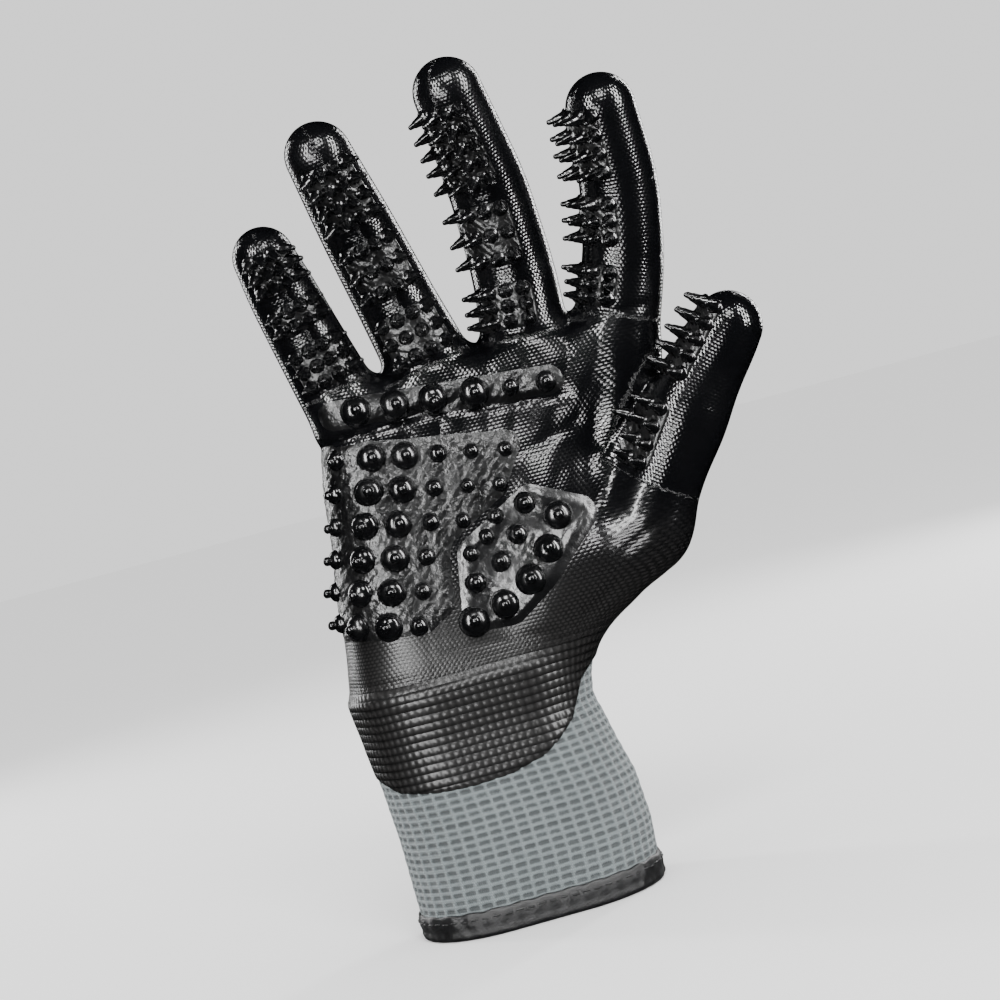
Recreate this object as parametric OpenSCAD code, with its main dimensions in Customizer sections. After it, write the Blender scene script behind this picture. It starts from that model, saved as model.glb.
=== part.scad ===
// Grooming glove for a right hand: a knit liner with a rubber-dipped palm and fingers, moulded
// rubber nubs, a bound hem and slit, and a hook-and-loop wrist strap. It stands in its worn shape.
// Frame: +Z from the hem to the fingers, -Y out of the palm, +X to the thumb.
// The origin is the centre of the hand opening, in the plane of the hem. All sizes are millimetres.

/* [Fabric] */
// Thickness of the knit liner
knit_t = 1.2; // [0.9:0.1:1.5]
// Thickness of the rubber dip over the knit
coat_t = 0.6; // [0.4:0.1:0.8]
// Thickness of the moulded sheet that carries the nubs
pad_t = 0.8; // [0.6:0.1:1]

/* [Cuff] */
// Length of the ribbed cuff, hem to hand
cuff_len = 68; // [66:1:70]
// Overall width of the cuff
cuff_w = 66; // [64:1:68]
// Overall depth of the cuff, palm to back
cuff_d = 46; // [45:1:47]
// Height of the binding round the hem
hem_h = 7; // [5:0.5:8]
// Thickness of a binding on each side of the knit
binding_t = 0.9; // [0.6:0.1:1]
// Length of the slit, from the hem up
slit_len = 50; // [44:1:54]
// Width of the slit
slit_w = 3; // [2:0.5:4]
// Angle of the slit round the thumb side, from +X towards the back
slit_at = 35; // [33:1:36]

/* [Strap] */
// Width of the strap
strap_w = 31; // [28:1:34]
// Height of the strap's lower edge above the hem
strap_low = 13.5; // [12:0.5:15]
// Thickness of the strap
strap_t = 2; // [1.5:0.1:2.5]
// Angle round the thumb side at which the strap is hinged, just behind the slit
strap_from = 54; // [52:1:56]
// Angle round the little-finger side at which the strap leaves the cuff
strap_to = 112; // [108:1:116]
// Length of the free tail of the strap
tail_len = 13; // [12.5:0.5:15]
// Radius of the tail's corners
tail_r = 12; // [8:1:12]

/* [Joints] */
// Largest bend that a finger joint adds to its resting bend, in degrees
bend_more = 34; // [28:1:36]
// Largest straightening from rest, in degrees
bend_less = 8; // [0:1:8]
// Depth of each joint line below the palm side of the finger
hinge_in = 5; // [4:0.5:6]
// Clearance between neighbouring segments at rest
joint_gap = 0.4; // [0.3:0.1:0.6]
// Bend of the end joint for each degree at the knuckle
end_share = 0.65; // [0.5:0.05:0.65]

/* [Nubs] */
// Height of a finger nub above its sheet
nub_h = 4.8; // [4:0.2:5]
// Radius of a finger nub at its foot
nub_r = 1.5; // [1.2:0.1:1.6]
// Radius of a finger nub at its tip
nub_tip_r = 0.6; // [0.5:0.1:0.8]
// Height of a palm nub above its sheet
knob_h = 4.4; // [3.5:0.1:5]
// Height of the dome under a palm nub
dome_h = 2.2; // [1.5:0.1:2.8]

/* [Hidden] */
$fn = 48;
HULL_FN = 20;        // facets of the balls inside a hull
KNOB_FN = 12;        // facets of a palm nub
FAR = 90;            // longer than anything that it cuts

cuff_r = cuff_d / 2;
flat_half = (cuff_w - cuff_d) / 2;   // half of the flat part of the cuff's section
patch_r = cuff_r + 1.2;              // outside of the loop patch on the cuff
hook_r = patch_r + 0.3;              // inside of the hook tape, just clear of the loops
strap_r = hook_r + 0.7;              // inside of the strap
strap_out = strap_r + strap_t;
strap_top = strap_low + strap_w;
binding_arc = 9;                     // half of the angle that the slit's binding covers

// Each finger: name, root point, [tilt to the thumb side, lean to the palm, turn of its nubs about its
// own axis, turn of its hinges back from there], segment lengths, radius at each end of each segment,
// resting bend before each later segment, and rows of nubs on each segment.
FINGERS = [
    ["pinky",  [-18.5, -5, 152], [-14.5, 4, 3, -3],   [16.8, 13, 17.8],   [9.9, 9.3, 8.8, 7.8],    [12, 9],  [3, 2, 3]],
    ["ring",   [8.2, -3, 152],   [-13.5, 3, -3, -4],  [19.5, 22.1, 30.5], [11.2, 10.4, 9.8, 8.5],  [13, 10], [3, 3, 4]],
    ["middle", [35.7, -3, 153.3], [4, 3, -32, 27], [17.4, 23.1, 36.6], [11.5, 10.9, 10.3, 8.8], [14, 13], [3, 3, 5]],
    ["index",  [61.2, -7, 152],  [20.5, 7, -58, 56],  [16, 19, 28.9],     [11.2, 10.6, 10.2, 8.9], [13, 13], [3, 3, 4]],
    ["thumb",  [59.4, -15, 105], [35, 10, -76, 36], [24.5, 31],         [11.3, 10.7, 8.6],       [-5],     [4, 5]]
];
PARTS = ["base", "middle", "tip"];
LAYERS = ["stall", "coating", "nubs"];

function name_of(f) = f[0];
function is_thumb(f) = name_of(f) == "thumb";
function last(f) = len(f[3]) - 1;
function part_of(f, k) = k == last(f) ? "tip" : PARTS[k];
function length_of(f, k) = f[3][k];
function start_r(f, k) = f[4][k];
function end_r(f, k) = f[4][k + 1];
function radius_at(f, k, s) = start_r(f, k) + (end_r(f, k) - start_r(f, k)) * s / length_of(f, k);
function rest_bend(f, k) = k == 0 ? 0 : f[5][k - 1];
function hinge_y(f, k) = hinge_in - start_r(f, k);      // the joint line before segment k
function hinge_turn(f) = f[2][3];
function share_of(f, k) = k < 2 ? 1 : end_share;

BACK_NODES = ["knit_cuff", "knit_hand", "palm_coating", "palm_bar_nubs", "palm_heel_nubs",
    "thenar_nubs", "hem_binding", "hem_thread", "slit_binding", "loop_patch", "strap_tab"];
STRAP_NODES = ["strap", "hook_tape", "strap_thread", "strap_print"];
FINGER_NODES = [for (f = FINGERS) for (k = [0:last(f)]) for (l = LAYERS)
    str(name_of(f), "_", l, "_", part_of(f, k))];

// ---------- frames of the fingers ----------

module at_root(f) {
    translate(f[1]) rotate([0, f[2][0], 0]) rotate([f[2][1], 0, 0]) rotate([0, 0, f[2][2]]) children();
}

// The frame of segment k: its start is at the origin, it runs along +Z and its palm side is -Y.
module at_segment(f, k) {
    if (k == 0) at_root(f) children();
    else at_segment(f, k - 1)
        translate([0, hinge_y(f, k), length_of(f, k - 1)]) rotate([rest_bend(f, k), 0, 0])
        translate([0, -hinge_y(f, k), 0]) children();
}

// The frame of joint k, whose line is X, given the start of segment k and a half of its resting bend.
module at_joint(f, k, half_bend) {
    translate([0, hinge_y(f, k), 0]) rotate([half_bend, 0, 0]) translate([0, -hinge_y(f, k), 0])
        rotate([0, 0, hinge_turn(f)]) translate([0, hinge_y(f, k), 0]) children();
}

// What the segment below joint k loses, in that segment's frame, so that the next one can bend.
module room_above(f, k) {
    translate([0, 0, k == 0 ? 0 : length_of(f, k - 1)]) at_joint(f, k, rest_bend(f, k) / 2)
        for (a = [bend_more, -bend_less] * share_of(f, k) / 2)
            rotate([a, 0, 0]) translate([-22, -26, -joint_gap / 2]) cube([44, 52, 16]);
}

// What segment k itself loses at its start, in its own frame.
module room_below(f, k) {
    at_joint(f, k, -rest_bend(f, k) / 2)
        for (a = [-bend_more, bend_less] * share_of(f, k) / 2)
            rotate([a, 0, 0]) translate([-22, -26, joint_gap / 2 - 16]) cube([44, 52, 16]);
}

// ---------- finger pieces ----------

RUN_ON = 4;      // how far a segment runs past each joint before it is cut to shape

// The profile of a finger segment between two offsets from the knit's outside.
function open_profile(f, k, inner, outer) = let (l = length_of(f, k)) [
    [radius_at(f, k, -RUN_ON) + inner, -RUN_ON], [radius_at(f, k, -RUN_ON) + outer, -RUN_ON],
    [radius_at(f, k, l + RUN_ON) + outer, l + RUN_ON], [radius_at(f, k, l + RUN_ON) + inner, l + RUN_ON]];

// The profile of a fingertip, whose end is round.
function tip_side(f, k, offset) = let (r = end_r(f, k), z = length_of(f, k) - r)
    [for (a = [0:15:90]) [(r + offset) * cos(a), z + (r + offset) * sin(a)]];
function reversed(list) = [for (i = [len(list) - 1:-1:0]) list[i]];
function tip_profile(f, k, inner, outer) = concat(
    [[radius_at(f, k, -RUN_ON) + inner, -RUN_ON], [radius_at(f, k, -RUN_ON) + outer, -RUN_ON]],
    tip_side(f, k, outer), reversed(tip_side(f, k, inner)));

module layer(f, k, inner, outer) {
    rotate_extrude() polygon(k == last(f) ? tip_profile(f, k, inner, outer) : open_profile(f, k, inner, outer));
}

module trimmed(f, k) {
    difference() {
        children();
        room_below(f, k);
        if (k < last(f)) room_above(f, k + 1);
    }
}

module stall(f, k) {
    color("slategray") at_segment(f, k) trimmed(f, k) layer(f, k, -knit_t, 0);
}

// The dip covers the palm side and the tip, and leaves a tongue of bare knit on the back.
module bare_tongue(f, k) {
    half = 0.78 * start_r(f, k);
    top = k == last(f) ? length_of(f, k) - 14 - half : FAR / 2;
    translate([-half, 2, -FAR / 2]) cube([2 * half, FAR, FAR / 2 + top]);
    if (k == last(f)) translate([0, 2, top]) rotate([-90, 0, 0]) cylinder(r = half, h = FAR);
}

module coating(f, k) {
    color("black") at_segment(f, k) trimmed(f, k) difference() {
        layer(f, k, 0, coat_t);
        if (!is_thumb(f)) bare_tongue(f, k);
    }
}

NUB_PITCH = 5;       // between rows on a fingertip
NUB_TURN = 23;       // degrees between neighbouring columns
NUB_COLUMNS = 4;
PAD_MARGIN = 2.2;    // of sheet round the nubs

// Nubs that face a neighbour closely, as [finger, segment, row, column]: some are short, one is left out.
SHORT_NUB_H = 2.2;
SHORT_NUBS = [["index", 0, 0, 0], ["index", 0, 1, 0], ["thumb", 0, 3, 1], ["thumb", 1, 0, 0]];
NO_NUBS = [["thumb", 0, 3, 0], ["thumb", 0, 2, 0]];
function listed(list, spot) = len([for (s = list) if (s == spot) s]) > 0;
function height_of(f, k, i, j) = listed(SHORT_NUBS, [name_of(f), k, i, j]) ? SHORT_NUB_H : nub_h;

function first_row(f, k) = (k == 0 ? 0.38 : 0.5) * start_r(f, k);
function last_row(f, k) = let (l = length_of(f, k), gaps = f[6][k] - 1)
    k == last(f) ? min(first_row(f, k) + gaps * NUB_PITCH, l - 0.7 * end_r(f, k)) : l - 0.45 * end_r(f, k);
function row_pitch(f, k) = (last_row(f, k) - first_row(f, k)) / (f[6][k] - 1);

module finger_nubs(f, k) {
    pitch = row_pitch(f, k);
    row_0 = first_row(f, k);
    first = row_0 - PAD_MARGIN;
    end = last_row(f, k) + PAD_MARGIN;
    arc = NUB_TURN * NUB_COLUMNS;
    skin = coat_t + pad_t;
    color("black") at_segment(f, k) trimmed(f, k) union() {
        difference() {
            rotate([0, 0, -90 - arc / 2]) rotate_extrude(angle = arc) polygon([
                [radius_at(f, k, first) + coat_t, first], [radius_at(f, k, first) + skin, first],
                [radius_at(f, k, end) + skin, end], [radius_at(f, k, end) + coat_t, end]]);
            // the thumb's sheet has no corner where it would rub on the palm
            if (is_thumb(f) && k == 0)
                rotate([0, 0, -92 - arc / 2]) translate([0, 0, 12.5]) rotate_extrude(angle = 14) square([22, 14]);
        }
        for (i = [0:f[6][k] - 1]) for (j = [0:NUB_COLUMNS - 1]) if (!listed(NO_NUBS, [name_of(f), k, i, j]))
            rotate([0, 0, -90 + (j - (NUB_COLUMNS - 1) / 2) * NUB_TURN])
            translate([radius_at(f, k, row_0 + i * pitch) + skin - 0.35, 0, row_0 + i * pitch])
            rotate([0, 90, 0]) cylinder(r1 = nub_r, r2 = nub_tip_r, h = height_of(f, k, i, j) + 0.35);
    }
}

// ---------- the hand ----------

WRIST_BALLS = [[-13.5, 0, 70], [10, 0, 70]];
THUMB_BALL = [24, -6, 84];
THUMB_BALL_R = 19;
KNUCKLE_DOWN = 13;   // from a finger's root to its knuckle ball

module knuckle(f, grow) {
    at_root(f) translate([0, 0, -KNUCKLE_DOWN]) sphere(r = start_r(f, 0) + 1 + grow, $fn = HULL_FN);
}

module root_disc(f, grow) {
    at_root(f) translate([0, 0, -1]) cylinder(r = start_r(f, 0) + grow, h = 1, $fn = HULL_FN);
}

// The hand's outside, grown by an offset, as balls joined by hulls.
module hand_form(grow) {
    four = [for (f = FINGERS) if (!is_thumb(f)) f];
    hull() {
        for (p = WRIST_BALLS) translate(p) sphere(r = cuff_r + grow, $fn = HULL_FN);
        for (f = four) knuckle(f, grow);
    }
    for (f = FINGERS) hull() {
        knuckle(f, grow);
        root_disc(f, grow);
    }
    hull() {
        translate(THUMB_BALL) sphere(r = THUMB_BALL_R + grow, $fn = HULL_FN);
        knuckle(FINGERS[4], grow);
    }
    hull() {
        translate([50, -6, 132]) sphere(r = 10 + grow, $fn = HULL_FN);
        translate([52, -10, 112]) sphere(r = 9 + grow, $fn = HULL_FN);
        translate([30, -5, 110]) sphere(r = 12 + grow, $fn = HULL_FN);
    }
}

module below_hand() {
    translate([-FAR, -FAR, -FAR]) cube([2 * FAR, 2 * FAR, FAR + cuff_len]);
}

module finger_bores() {
    for (f = FINGERS) at_root(f) {
        translate([0, 0, -10]) cylinder(r = start_r(f, 0) - knit_t, h = 20, $fn = HULL_FN);
        intersection() {
            room_above(f, 0);
            cylinder(r = start_r(f, 0) + 9, h = 50, center = true, $fn = HULL_FN);
        }
    }
}

module knit_hand() {
    color("slategray") difference() {
        hand_form(0);
        hand_form(-knit_t);
        below_hand();
        finger_bores();
    }
}

DIP_X = -8;          // the dip's lower edge is an arc about this point
DIP_Z = 82;
DIP_R = 42;
DIP_BACK = 6;        // how far the dip wraps towards the back
DIP_CLEAR = 0.06;    // between the dip and the facets of the cuff

module dip_region() {
    translate([0, DIP_BACK, 0]) rotate([90, 0, 0]) linear_extrude(FAR) union() {
        translate([DIP_X, DIP_Z]) circle(r = DIP_R);
        translate([-FAR, DIP_Z]) square([2 * FAR, FAR]);
    }
}

module palm_coating() {
    color("black") difference() {
        intersection() {
            union() {
                difference() {
                    hand_form(coat_t);
                    below_hand();
                }
                translate([0, 0, hem_h]) linear_extrude(cuff_len - hem_h) stadium(cuff_r + coat_t);
            }
            dip_region();
        }
        difference() {
            hand_form(0);
            below_hand();
        }
        linear_extrude(cuff_len) stadium(cuff_r + DIP_CLEAR);
        finger_bores();
    }
}

// ---------- palm nubs ----------

// The little-finger edge of the palm is round about this line.
function edge_x(z) = WRIST_BALLS[0][0] - 5 * (z - 70) / 70;
function edge_r(z) = cuff_r - 12 * (z - 70) / 70;

// A rod out of the palm through the surface point above x, square to the surface.
module palm_rod(x, z, r) {
    side = min(0.97, max(0, (edge_x(z) - x) / edge_r(z)));
    translate([max(x, edge_x(z)), -1, z]) rotate([90, 0, -asin(side)])
        cylinder(r = r, h = 50, $fn = KNOB_FN);
}

// Nubs at spots [x, z, dome radius] on a sheet whose outline is the child, drawn in X and Z.
module palm_nubs(spots) {
    color("black") difference() {
        union() {
            intersection() {
                hand_form(coat_t + pad_t);
                translate([0, 3, 0]) rotate([90, 0, 0]) linear_extrude(FAR) children();
            }
            intersection() {
                hand_form(coat_t + pad_t + dome_h);
                for (s = spots) palm_rod(s[0], s[1], s[2]);
            }
            intersection() {
                hand_form(coat_t + pad_t + knob_h);
                for (s = spots) palm_rod(s[0], s[1], 1.6);
            }
        }
        hand_form(coat_t);
    }
}

BAR_X = [-15, -4.5, 6, 17, 27, 36.5];
BAR_DOMES = [3.8, 3.8, 3.8, 3.8, 2.2, 2.6];
bar_spots = [for (i = [0:5]) [BAR_X[i], 144.5 - 0.1 * (BAR_X[i] + 15), BAR_DOMES[i]]];

HEEL_COLUMNS = [6, 6, 5, 4, 4, 4];
HEEL_DOMES = [2.6, 3.7, 3.7, 2.4, 2, 2];
heel_spots = [for (i = [0:5]) for (j = [0:HEEL_COLUMNS[i] - 1])
    [-23 - 2.8 * i + (8.8 - 0.2 * i) * j, 133 - 8.6 * i - 1.7 * j, HEEL_DOMES[j]]];

THENAR_AT = [-3.5, 118.5];
THENAR_ARCS = [[36.5, -83, 14.8, 5, 3.9], [27.5, -74, 18, 4, 2.8], [20.5, -66, 17, 3, 2]];
thenar_spots = [for (a = THENAR_ARCS) for (i = [0:a[3] - 1]) let (t = a[1] + i * a[2])
    [THENAR_AT[0] + a[0] * cos(t), THENAR_AT[1] + a[0] * sin(t), a[4]]];

module round_outline(corners) {
    hull() for (c = corners) translate([c[0], c[1]]) circle(r = c[2], $fn = HULL_FN);
}

module palm_bar_nubs() {
    palm_nubs(bar_spots) round_outline([[-20.5, 144, 3.5], [-20.5, 145.5, 3.5], [37, 139.4, 4.5]]);
}

module palm_heel_nubs() {
    palm_nubs(heel_spots) difference() {
        round_outline([[-25, 132, 6], [22, 126, 4], [15, 119, 4], [-1, 92, 4], [-12, 86, 4], [-40, 90, 5]]);
        thenar_outline(1.2);
    }
}

module thenar_outline(grow) {
    round_outline([[3, 84, 5 + grow], [11, 84, 5.5 + grow], [21, 90, 5 + grow], [35.5, 103, 5 + grow],
        [24, 110, 4 + grow], [5, 100, 4 + grow]]);
}

module thenar_nubs() {
    palm_nubs(thenar_spots) thenar_outline(0);
}

// ---------- the cuff ----------

module stadium(r) {
    for (side = [-1, 1]) translate([side * flat_half, 0]) circle(r = r);
    square([2 * flat_half, 2 * r], center = true);
}

function ray(x, a, l) = [x + l * cos(a), l * sin(a)];

// The band between two radii, from an angle on the thumb side round the back to the other side.
module back_band(inner, outer, from, to) {
    intersection() {
        difference() {
            stadium(outer);
            stadium(inner);
        }
        polygon([[flat_half, 0], ray(flat_half, from, FAR), [FAR, FAR], [-FAR, FAR],
            ray(-flat_half, to, FAR), [-flat_half, 0]]);
    }
}

// The band between two radii and two angles on the thumb side.
module thumb_side_band(inner, outer, from, to) {
    intersection() {
        difference() {
            stadium(outer);
            stadium(inner);
        }
        polygon([[flat_half, 0], ray(flat_half, from, FAR), ray(flat_half, to, FAR)]);
    }
}

module slit(top) {
    translate([flat_half, 0, -1]) rotate([0, 0, slit_at]) translate([cuff_r / 2, -slit_w / 2, 0])
        cube([cuff_r, slit_w, top + 1]);
}

module knit_cuff() {
    color("slategray") difference() {
        translate([0, 0, 1]) linear_extrude(cuff_len - 1) difference() {
            stadium(cuff_r);
            stadium(cuff_r - knit_t);
        }
        slit(slit_len);
    }
}

module hem_binding() {
    color("black") difference() {
        linear_extrude(hem_h) difference() {
            stadium(cuff_r + binding_t);
            stadium(cuff_r - knit_t - binding_t);
        }
        translate([0, 0, 1]) linear_extrude(hem_h) difference() {
            stadium(cuff_r);
            stadium(cuff_r - knit_t);
        }
        slit(slit_len);
    }
}

module slit_binding() {
    color("black") difference() {
        translate([0, 0, hem_h]) linear_extrude(slit_len + 4.5 - hem_h)
            thumb_side_band(cuff_r, cuff_r + binding_t, slit_at - binding_arc, slit_at + binding_arc);
        slit(slit_len);
    }
}

// A point and a heading on the outline that runs round the stadium, from its thumb-side end.
function turned(s, r) = s / (PI * r) * 180;
function outline_point(s, r) = let (arc = PI * r, flat = 2 * flat_half)
    s < arc / 2 ? concat(ray(flat_half, turned(s, r), r), turned(s, r))
    : s < arc / 2 + flat ? [flat_half - (s - arc / 2), r, 90]
    : s < arc * 1.5 + flat ? concat(ray(-flat_half, turned(s - flat, r), r), turned(s - flat, r))
    : s < arc * 1.5 + 2 * flat ? [s - 1.5 * arc - flat - flat_half, -r, 270]
    : concat(ray(flat_half, turned(s - 2 * flat, r), r), turned(s - 2 * flat, r));

STITCH_LEN = 2;
STITCH_PITCH = 3.2;
THREAD = 0.4;

module stitch_run(from, to, r, z) {
    for (i = [0:floor((to - from) / STITCH_PITCH)]) let (p = outline_point(from + i * STITCH_PITCH, r))
        translate([p[0], p[1], z]) rotate([0, 0, p[2]]) translate([0.03, -STITCH_LEN / 2, -THREAD / 2])
        cube([THREAD, STITCH_LEN, THREAD]);
}

module hem_thread() {
    r = cuff_r + binding_t;
    slit_s = PI * r * slit_at / 180;
    all_round = 2 * PI * r + 4 * flat_half;
    color("dimgray") stitch_run(slit_s + 4, all_round + slit_s - 4, r, hem_h - 2);
}

// ---------- the strap ----------

module loop_patch() {
    color("dimgray") translate([0, 0, strap_low + 2]) linear_extrude(strap_w - 4) intersection() {
        back_band(cuff_r, patch_r, 60, strap_to + 12);
        translate([-FAR, 0]) square([FAR + 6, FAR]);
    }
}

module strap_tab() {
    color("black") translate([0, 0, strap_low]) linear_extrude(strap_w)
        thumb_side_band(cuff_r, strap_out, slit_at + binding_arc + 0.5, strap_from - 0.8);
}

// The flat tail is drawn in a frame where +X runs along it and -Y is outwards.
module at_tail() {
    translate([-flat_half, 0, 0]) rotate([0, 0, strap_to + 90]) children();
}

// A line round the back at radius r, from a start on the thumb side, and straight on into the tail.
BAND_STEPS = 12;
function arc_points(x, r, from, to) =
    [for (i = [0:BAND_STEPS]) ray(x, from + (to - from) * i / BAND_STEPS, r)];
function past(p, l) = [p[0] - l * sin(strap_to), p[1] + l * cos(strap_to)];
function band_line(start, r, l) = let (round_side = arc_points(-flat_half, r, 90, strap_to))
    concat(start, round_side, [past(round_side[BAND_STEPS], l)]);

// What is cut away to round the two corners of the tail.
module tail_corners(inset) {
    r = tail_r - inset;
    end = tail_len - inset;
    half = strap_w / 2 - inset;
    arc = [for (a = [90:-9:0]) [end - r + r * cos(a), half - r + r * sin(a)]];
    at_tail() translate([0, 0, strap_low + strap_w / 2]) for (side = [0, 1])
        rotate([90, 0, 0]) mirror([0, side, 0]) linear_extrude(FAR)
        polygon(concat([[end + 1, half - r], [end + 1, half + 1], [end - r, half + 1]], arc));
}

module strap() {
    function line(r) = band_line(arc_points(flat_half, r, strap_from, 90), r, tail_len);
    color([0.1, 0.1, 0.11]) difference() {
        translate([0, 0, strap_low]) linear_extrude(strap_w)
            polygon(concat(line(strap_r), reversed(line(strap_out))));
        tail_corners(0);
    }
}

module hook_tape() {
    function line(r) = band_line([[0, r]], r, tail_len - 3);
    color("dimgray") difference() {
        translate([0, 0, strap_low + 3]) linear_extrude(strap_w - 6)
            polygon(concat(line(hook_r), reversed(line(strap_r))));
        tail_corners(3);
    }
}

module strap_thread() {
    from = PI * strap_out * strap_from / 180 + 6;
    to = PI * strap_out * strap_to / 180 + 2 * flat_half - 1;
    color("black") for (z = [strap_low + 3, strap_top - 3]) stitch_run(from, to, strap_out, z);
}

// A plain decoration on the flat of the strap: one bar and three dots.
module strap_print() {
    middle = strap_low + strap_w / 2;
    color("silver") translate([0, strap_out, middle]) rotate([-90, 0, 0]) {
        translate([-flat_half + 1, -1.5, 0]) cube([flat_half, 3, 0.3]);
        for (i = [0:2]) translate([flat_half - 6.5, 6 * (i - 1), 0]) cylinder(r = 1.8, h = 0.3);
    }
}

// ---------- every node ----------

knit_cuff();
knit_hand();
palm_coating();
palm_bar_nubs();
palm_heel_nubs();
thenar_nubs();
hem_binding();
hem_thread();
slit_binding();
loop_patch();
strap_tab();
strap();
hook_tape();
strap_thread();
strap_print();
for (f = FINGERS) for (k = [0:last(f)]) {
    stall(f, k);
    coating(f, k);
    finger_nubs(f, k);
}
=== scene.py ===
import bpy, math
import numpy as np
from mathutils import Vector, Matrix


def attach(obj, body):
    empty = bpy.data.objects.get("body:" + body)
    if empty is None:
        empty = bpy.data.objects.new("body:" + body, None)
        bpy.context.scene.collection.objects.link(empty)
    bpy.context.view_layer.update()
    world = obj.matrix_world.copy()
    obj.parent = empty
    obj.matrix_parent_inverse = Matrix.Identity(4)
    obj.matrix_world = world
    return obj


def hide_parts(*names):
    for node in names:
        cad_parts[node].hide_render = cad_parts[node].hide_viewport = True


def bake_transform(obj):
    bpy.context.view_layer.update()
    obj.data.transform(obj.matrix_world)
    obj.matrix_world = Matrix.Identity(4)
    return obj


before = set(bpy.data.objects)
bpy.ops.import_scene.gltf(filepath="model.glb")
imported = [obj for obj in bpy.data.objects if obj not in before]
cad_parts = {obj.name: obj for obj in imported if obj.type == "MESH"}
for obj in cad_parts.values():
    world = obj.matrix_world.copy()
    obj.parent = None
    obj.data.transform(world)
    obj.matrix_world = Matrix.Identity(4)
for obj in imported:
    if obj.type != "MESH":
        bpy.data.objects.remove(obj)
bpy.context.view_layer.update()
R = np.random.default_rng(7)
MM = 0.001

# ------------------------------------------------------------------ the hand's skeleton, in millimetres
# name, root, (tilt, lean, turn of the nubs), lengths, radii, rest bends, nub rows
FINGERS = [
    ("pinky", (-18.5, -5, 152), (-14.5, 4, 3), (16.8, 13, 17.8), (9.9, 9.3, 8.8, 7.8), (12, 9), (3, 2, 3)),
    ("ring", (8.2, -3, 152), (-13.5, 3, -3), (19.5, 22.1, 30.5), (11.2, 10.4, 9.8, 8.5), (13, 10), (3, 3, 4)),
    ("middle", (35.7, -3, 153.3), (4, 3, -32), (17.4, 23.1, 36.6), (11.5, 10.9, 10.3, 8.8), (14, 13), (3, 3, 5)),
    ("index", (61.2, -7, 152), (20.5, 7, -58), (16, 19, 28.9), (11.2, 10.6, 10.2, 8.9), (13, 13), (3, 3, 4)),
    ("thumb", (59.4, -15, 105), (35, 10, -76), (24.5, 31), (11.3, 10.7, 8.6), (-5,), (4, 5)),
]
PART_NAMES = {3: ["base", "middle", "tip"], 2: ["base", "tip"]}
# From a finger's nub side in to its hinges, from a root down to its knuckle's ball, and the length of a bend
HINGE_IN, KNUCKLE_DOWN, BEND_ROUND = 5.0, 13, 6.5


def rot(axis, deg):
    a = math.radians(deg)
    c, s = math.cos(a), math.sin(a)
    m = np.eye(4)
    i, j = {"x": (1, 2), "y": (2, 0), "z": (0, 1)}[axis]
    m[i, i] = m[j, j] = c
    m[i, j], m[j, i] = -s, s
    return m


def move(v):
    m = np.eye(4)
    m[:3, 3] = v
    return m


class Segment:
    """One stiff length of a finger: its frame, its length, its radii and its body."""

    def __init__(self, m, length, r0, r1, rows, body, first, last, start):
        self.m, self.length, self.r0, self.r1, self.rows = m, length, r0, r1, rows
        self.body, self.first, self.last, self.start = body, first, last, start

    def at(self, x, y, z):
        return self.m[:3, :3] @ np.array([x, y, z]) + self.m[:3, 3]

    def local(self, p):
        return (p - self.m[:3, 3]) @ self.m[:3, :3]

    def radius(self, s):
        return self.r0 + (self.r1 - self.r0) * s / self.length


def build_chain(spec):
    name, root, (tilt, lean, turn), lengths, radii, bends, rows = spec
    m = move(root) @ rot("y", tilt) @ rot("x", lean) @ rot("z", turn)
    parts = PART_NAMES[len(lengths)]
    out, start = [], 0.0
    for k, length in enumerate(lengths):
        hy = HINGE_IN - radii[k]
        if k:
            m = m @ move((0, hy, lengths[k - 1])) @ rot("x", bends[k - 1]) @ move((0, -hy, 0))
        out.append(Segment(m.copy(), length, radii[k], radii[k + 1], rows[k], f"{name}_{parts[k]}",
                           k == 0, k == len(lengths) - 1, start))
        start += length
    return out


CHAIN = {s[0]: build_chain(s) for s in FINGERS}
NAMES = [s[0] for s in FINGERS]


def centre_line(segs):
    """Points and radii down the middle of a finger, with its bends rounded off."""
    knots = [segs[0].at(0, 0, -KNUCKLE_DOWN), segs[0].at(0, 0, 0)]
    radii = [segs[0].r0 + 0.6, segs[0].r0 + 0.1]
    for s in segs:
        end = s.length - (s.r1 if s.last else 0)
        knots.append(s.at(0, 0, end))
        radii.append(s.r1)
    knots, radii = np.array(knots), np.array(radii)
    pts, rad = [knots[0]], [radii[0]]
    for i in range(1, len(knots) - 1):
        a, b, c = knots[i - 1:i + 2]
        la, lc = np.linalg.norm(a - b), np.linalg.norm(c - b)
        cut = min(BEND_ROUND, la * 0.45, lc * 0.45)
        pa, pc = b + (a - b) * cut / la, b + (c - b) * cut / lc
        ra = radii[i] + (radii[i - 1] - radii[i]) * cut / la
        rc = radii[i] + (radii[i + 1] - radii[i]) * cut / lc
        for t in (0, 0.33, 0.67, 1):
            pts.append((1 - t) ** 2 * pa + 2 * t * (1 - t) * b + t * t * pc)
            rad.append((1 - t) ** 2 * ra + 2 * t * (1 - t) * radii[i] + t * t * rc)
    pts.append(knots[-1])
    rad.append(radii[-1])
    return np.array(pts), np.array(rad)


LINES = {n: centre_line(CHAIN[n]) for n in NAMES}


# ------------------------------------------------------------------ the glove's surface as a field
def cone(p, a, b, ra, rb):
    ba = b - a
    pa = p - a
    t = np.clip(pa @ ba / (ba @ ba), 0, 1)
    return np.linalg.norm(pa - t[:, None] * ba, axis=1) - (ra + (rb - ra) * t)


def soft_min(a, b, k):
    h = np.clip(0.5 + 0.5 * (b - a) / k, 0, 1)
    return b + (a - b) * h - k * h * (1 - h)


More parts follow.
